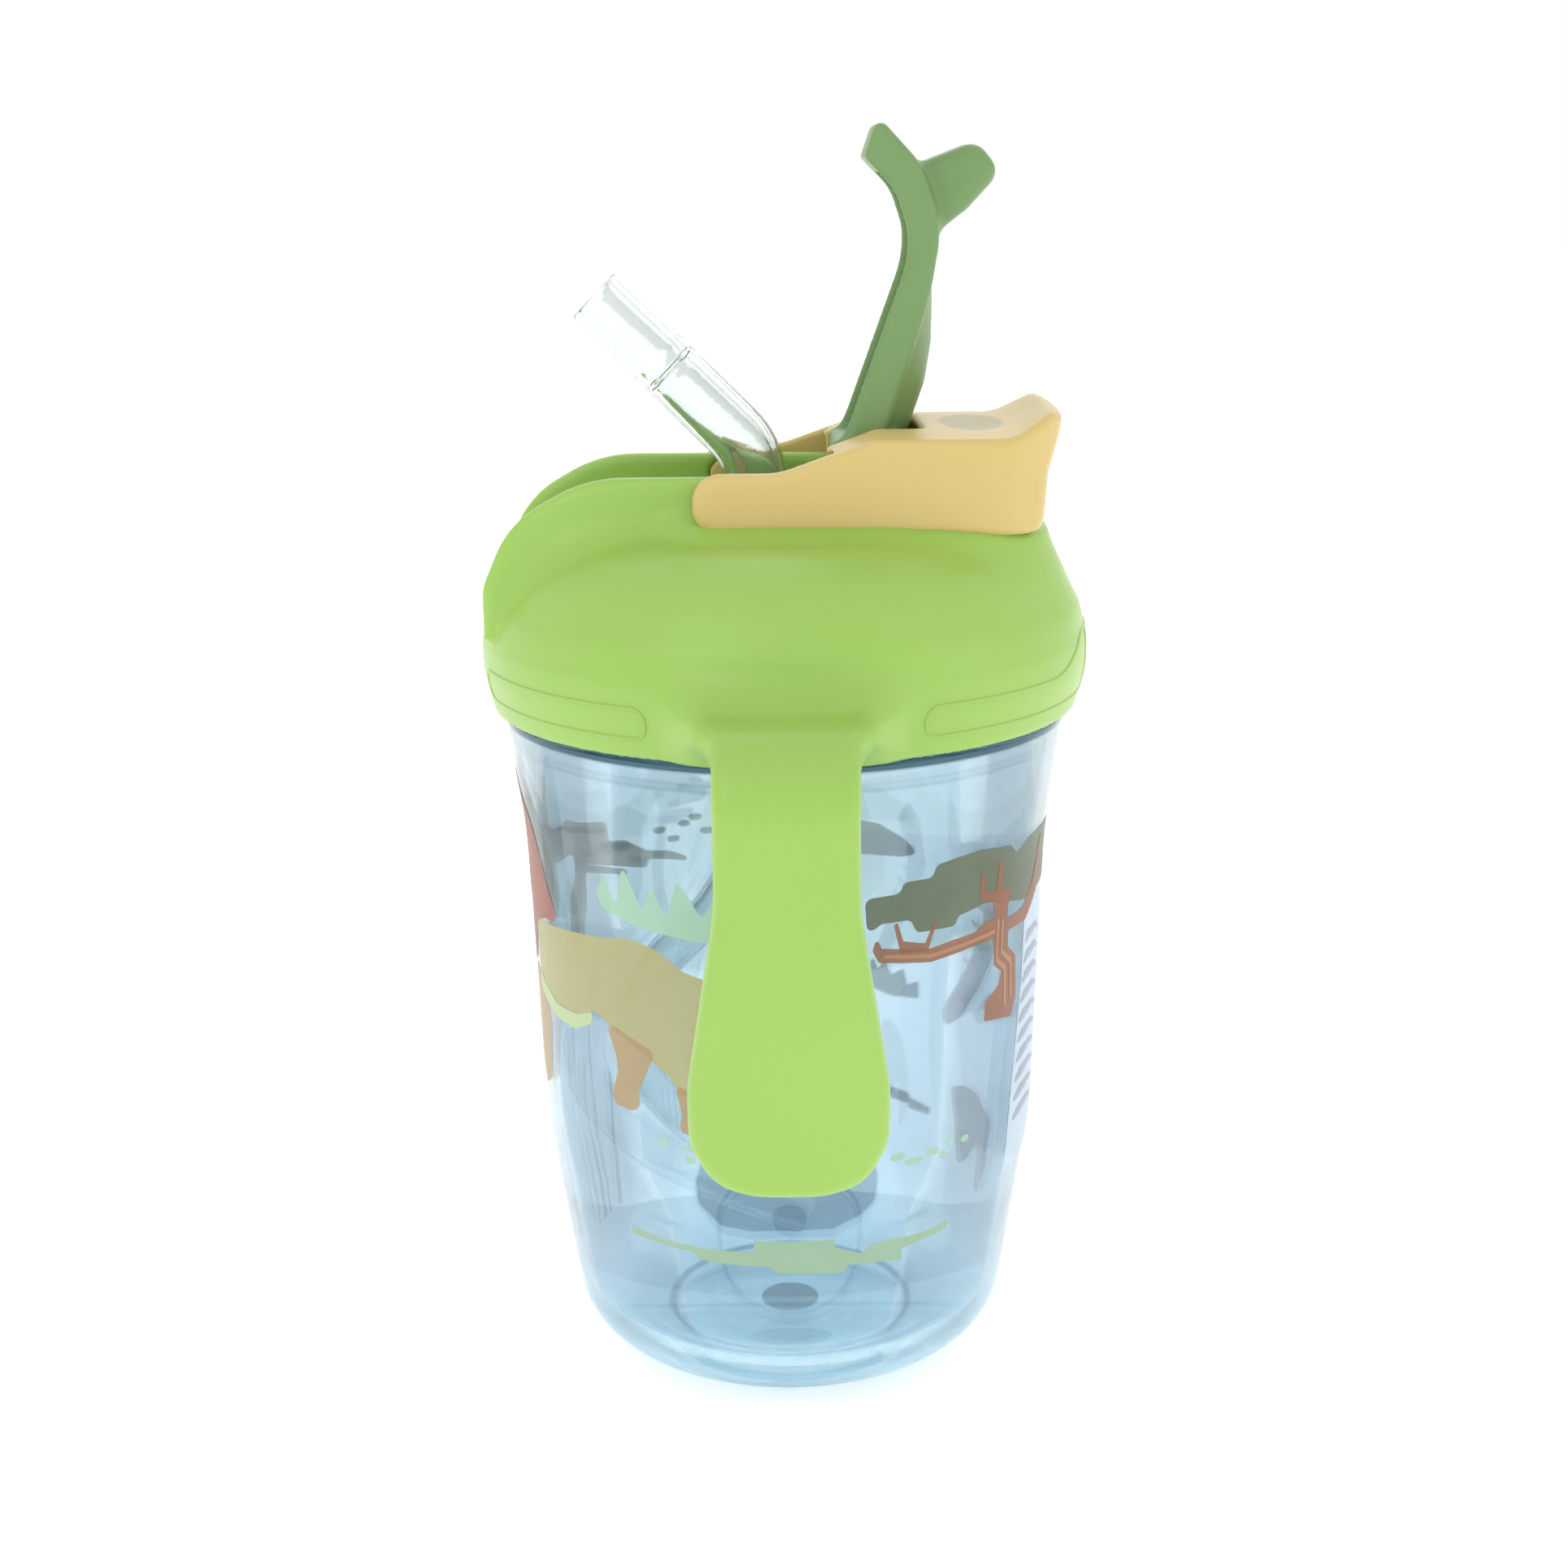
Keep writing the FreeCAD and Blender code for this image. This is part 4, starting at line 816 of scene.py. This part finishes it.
def frame_distance(x, y, z):
    """Side view, lowered by 0.9 (y / half) squared at the plate, met by the plan view, less
    the hollow, the cover's slot, a long dish and the trunnion holes, with two bosses."""
    half, arm_inner, slot_half, cheek_half, boss_inner = 17.8, 14.7, 8.4, 11.2, 11.6
    side = np.abs(y)
    crowned = z + 0.9 * (y / half) ** 2 * np.clip((z - 31.5) / 4, 0, 1)
    block = shared(shared(frame_side.at(x, crowned), side - half, 1.5),
                   frame_plan.at(x, y), 1.0)
    body = shared(block, -np.maximum(frame_hollow.at(x, z), side - arm_inner), 0.4)
    slot = np.maximum(side - slot_half, x - 17.2)
    body = shared(body, -slot, 0.9)
    cheeks = np.maximum(shared(cheek_side.at(x, z), side - cheek_half, 0.8), slot_half - side)
    body = joined(body, cheeks, 0.6)
    dish = np.hypot(np.hypot((x - 24.1) / 1.04, y / 2.3), z - 48.9) - 13.6
    body = shared(body, -dish, 0.7)
    trunnion_hole = 1.73 - np.hypot(x - HINGE[0], z - HINGE[1])
    body = np.maximum(body, trunnion_hole - np.where(side < boss_inner, 0, 9))
    boss = np.maximum(np.hypot(x + 7.8, z - 27.9) - 2.0,
                      np.maximum(boss_inner - side, side - 15))
    return np.minimum(body, boss)


hinge_frame = put("hinge_frame_moulding",
                  *skin(frame_distance, (-12.5, -18.9, 22.4), (36.6, 18.9, 40.0), 0.42))
# Painted shade: the floor of the thumb dish is coloured a darker olive.
yellow_finish = moulded("satin_yellow_plastic", (203, 178, 108), (209, 185, 118), 0.38, 0.14,
                        painted_shade_spot=((0.0241, 0, (EDGE + 36.2) / 1000), 0.0041, (168, 156, 98)))
hinge_frame.data.materials.append(yellow_finish)
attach(hinge_frame, "lid")
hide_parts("hinge_frame")

# --------------------------------------------------------------------------- flip cover
# Sage-green cover that swings over and pinches the straw: a channel with a crowned back, a
# hooked tip, a thick thumb tab, and a barrel with trunnions in the frame's cheeks.
cover_side = Flat([
    (5.8, 31.6, 1), (8.3, 36.4, 9), (15.3, 55.6, 26), (15.7, 59.6, 9), (14.0, 64.8, 7),
    (10.2, 68.7, 0.7), (11.9, 73.6, 1.0), (17.2, 67.9, 9), (19.9, 60.6, 14),
    (18.4, 51.8, 40), (12.6, 33.6, 1), (10, 31)])
cover_channel = Flat([
    (1, 32), (1, 60), (8, 64.5), (13.2, 67.2, 0.8), (16.2, 65.2, 3), (18.2, 60.0, 10),
    (16.7, 52, 30), (11.4, 35.4, 1), (8, 34)])
tab_side = Flat([(15.8, 67.4), (24.3, 70.6, 2.4), (27.3, 66.8, 2.2), (23.2, 62.4, 4),
                 (18.2, 58.6)])
leg_side = Flat([(6.4, 34.2), (14.2, 35.2), (12.6, 33.2, 1), (11.9, 28.6), (6.5, 28.6)])


def cover_distance(x, y, z):
    """Side view met by the width, less the channel; between the two side bands the back bulges
    by swell(z) (1 - (y / band) squared).  A tab, two legs and the hinge barrel are added."""
    half, band_inner, channel_half = 8.0, 6.9, 6.4
    side = np.abs(y)
    from_hinge = np.hypot(x - HINGE[0], z - HINGE[1])
    swell = np.interp(z, [33, 41, 46, 50, 54.5], [2.9, 3.2, 2.4, 1.2, 0.0])
    front = np.interp(z, [31, 36, 56, 60, 68], [5.8, 8.3, 15.3, 15.5, 10.5])
    ramp = np.clip((x - front - 1.2) / 2.4, 0, 1)
    moved = x + ramp * (0.6 - (swell + 0.6) * np.maximum(0, 1 - (y / band_inner) ** 2))
    shell = shared(cover_side.at(x, z), side - half, 1.1)
    hump = shared(cover_side.at(moved, z), side - band_inner, 0.4)
    body = np.minimum(shell, hump)
    open_front = np.maximum(cover_channel.at(moved, z), side - channel_half)
    body = shared(body, -open_front, 0.7)
    tab = shared(tab_side.at(x, z), side - 5.0, 2.1)
    body = joined(body, tab, 1.2)
    body = joined(body, shared(leg_side.at(x, z), side - half, 0.8), 0.8)
    barrel = shared(from_hinge - 3.1, side - half, 0.6)
    body = joined(body, barrel, 0.8)
    trunnion = shared(from_hinge - 1.65, side - 11.0, 0.4)
    return np.minimum(body, trunnion)


cover = put("flip_cover_moulding",
            *skin(cover_distance, (2.0, -11.8, 24.6), (28.4, 11.8, 74.6), 0.40))
cover_finish = moulded("satin_sage_plastic", (107, 140, 84), (114, 147, 90), 0.42, 0.08)
cover.data.materials.append(cover_finish)
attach(cover, "cover")
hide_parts("flip_cover")

# ---------------------------------------------------------------------- floor and camera
# A pale matt floor under soft even light, and the camera a little above the lid.
half = 4.0                                          # metres
floor_mesh = bpy.data.meshes.new("floor")
floor_mesh.from_pydata([(-half, -half, 0), (half, -half, 0), (half, half, 0),
                        (-half, half, 0)], [], [(0, 1, 2, 3)])
floor = bpy.data.objects.new("floor", floor_mesh)
bpy.context.scene.collection.objects.link(floor)
floor_finish, floor_shader, floor_start = new_finish(
    "floor_paper", Specular_IOR_Level=0.1, Emission_Strength=0.5,
    Emission_Color=(1.0, 1.0, 1.0, 1.0))
paper = mixed(floor_start, speckle(floor_start, 40.0), (0.93, 0.93, 0.93, 1),
              (0.95, 0.95, 0.95, 1))
feed(floor_shader, floor_start, Base_Color=paper,
     Roughness=0.85 + 0.1 * speckle(floor_start, 400.0))
floor_mesh.materials.append(floor_finish)

world = bpy.data.worlds.new("studio")
world.use_nodes = True
world.node_tree.nodes["Background"].inputs["Color"].default_value = (1, 1, 1, 1)
world.node_tree.nodes["Background"].inputs["Strength"].default_value = 1.0
bpy.context.scene.world = world
bpy.context.scene.view_settings.view_transform = "Standard"


def soft_light(name, place, target, width, power):
    """A square area light that faces target."""
    lamp = bpy.data.lights.new(name, "AREA")
    lamp.shape, lamp.size, lamp.energy = "SQUARE", width, power
    held = bpy.data.objects.new(name, lamp)
    held.location = place
    held.rotation_euler = (Vector(target) - Vector(place)).to_track_quat("-Z", "Y").to_euler()
    bpy.context.scene.collection.objects.link(held)


soft_light("key", (-0.35, -0.55, 0.60), (0, 0, 0.09), 0.45, 0.7)
soft_light("fill", (0.60, -0.35, 0.30), (0, 0, 0.09), 0.5, 0.25)
soft_light("back", (0.15, 0.60, 0.45), (0, 0, 0.09), 0.5, 0.5)

lens = bpy.data.cameras.new("camera")
lens.lens, lens.sensor_width, lens.clip_start = 54.05, 36.0, 0.01
camera = bpy.data.objects.new("camera", lens)
camera.location = (-0.0002208, -0.30382, (EDGE + 67.95) / 1000)
camera.rotation_mode = "XYZ"
pitch, roll = math.radians(90 - 14.7526), math.radians(-0.5237)
camera.rotation_euler = (pitch, 0, 0)
camera.rotation_euler.rotate_axis("Z", roll)
bpy.context.scene.collection.objects.link(camera)
bpy.context.scene.camera = camera
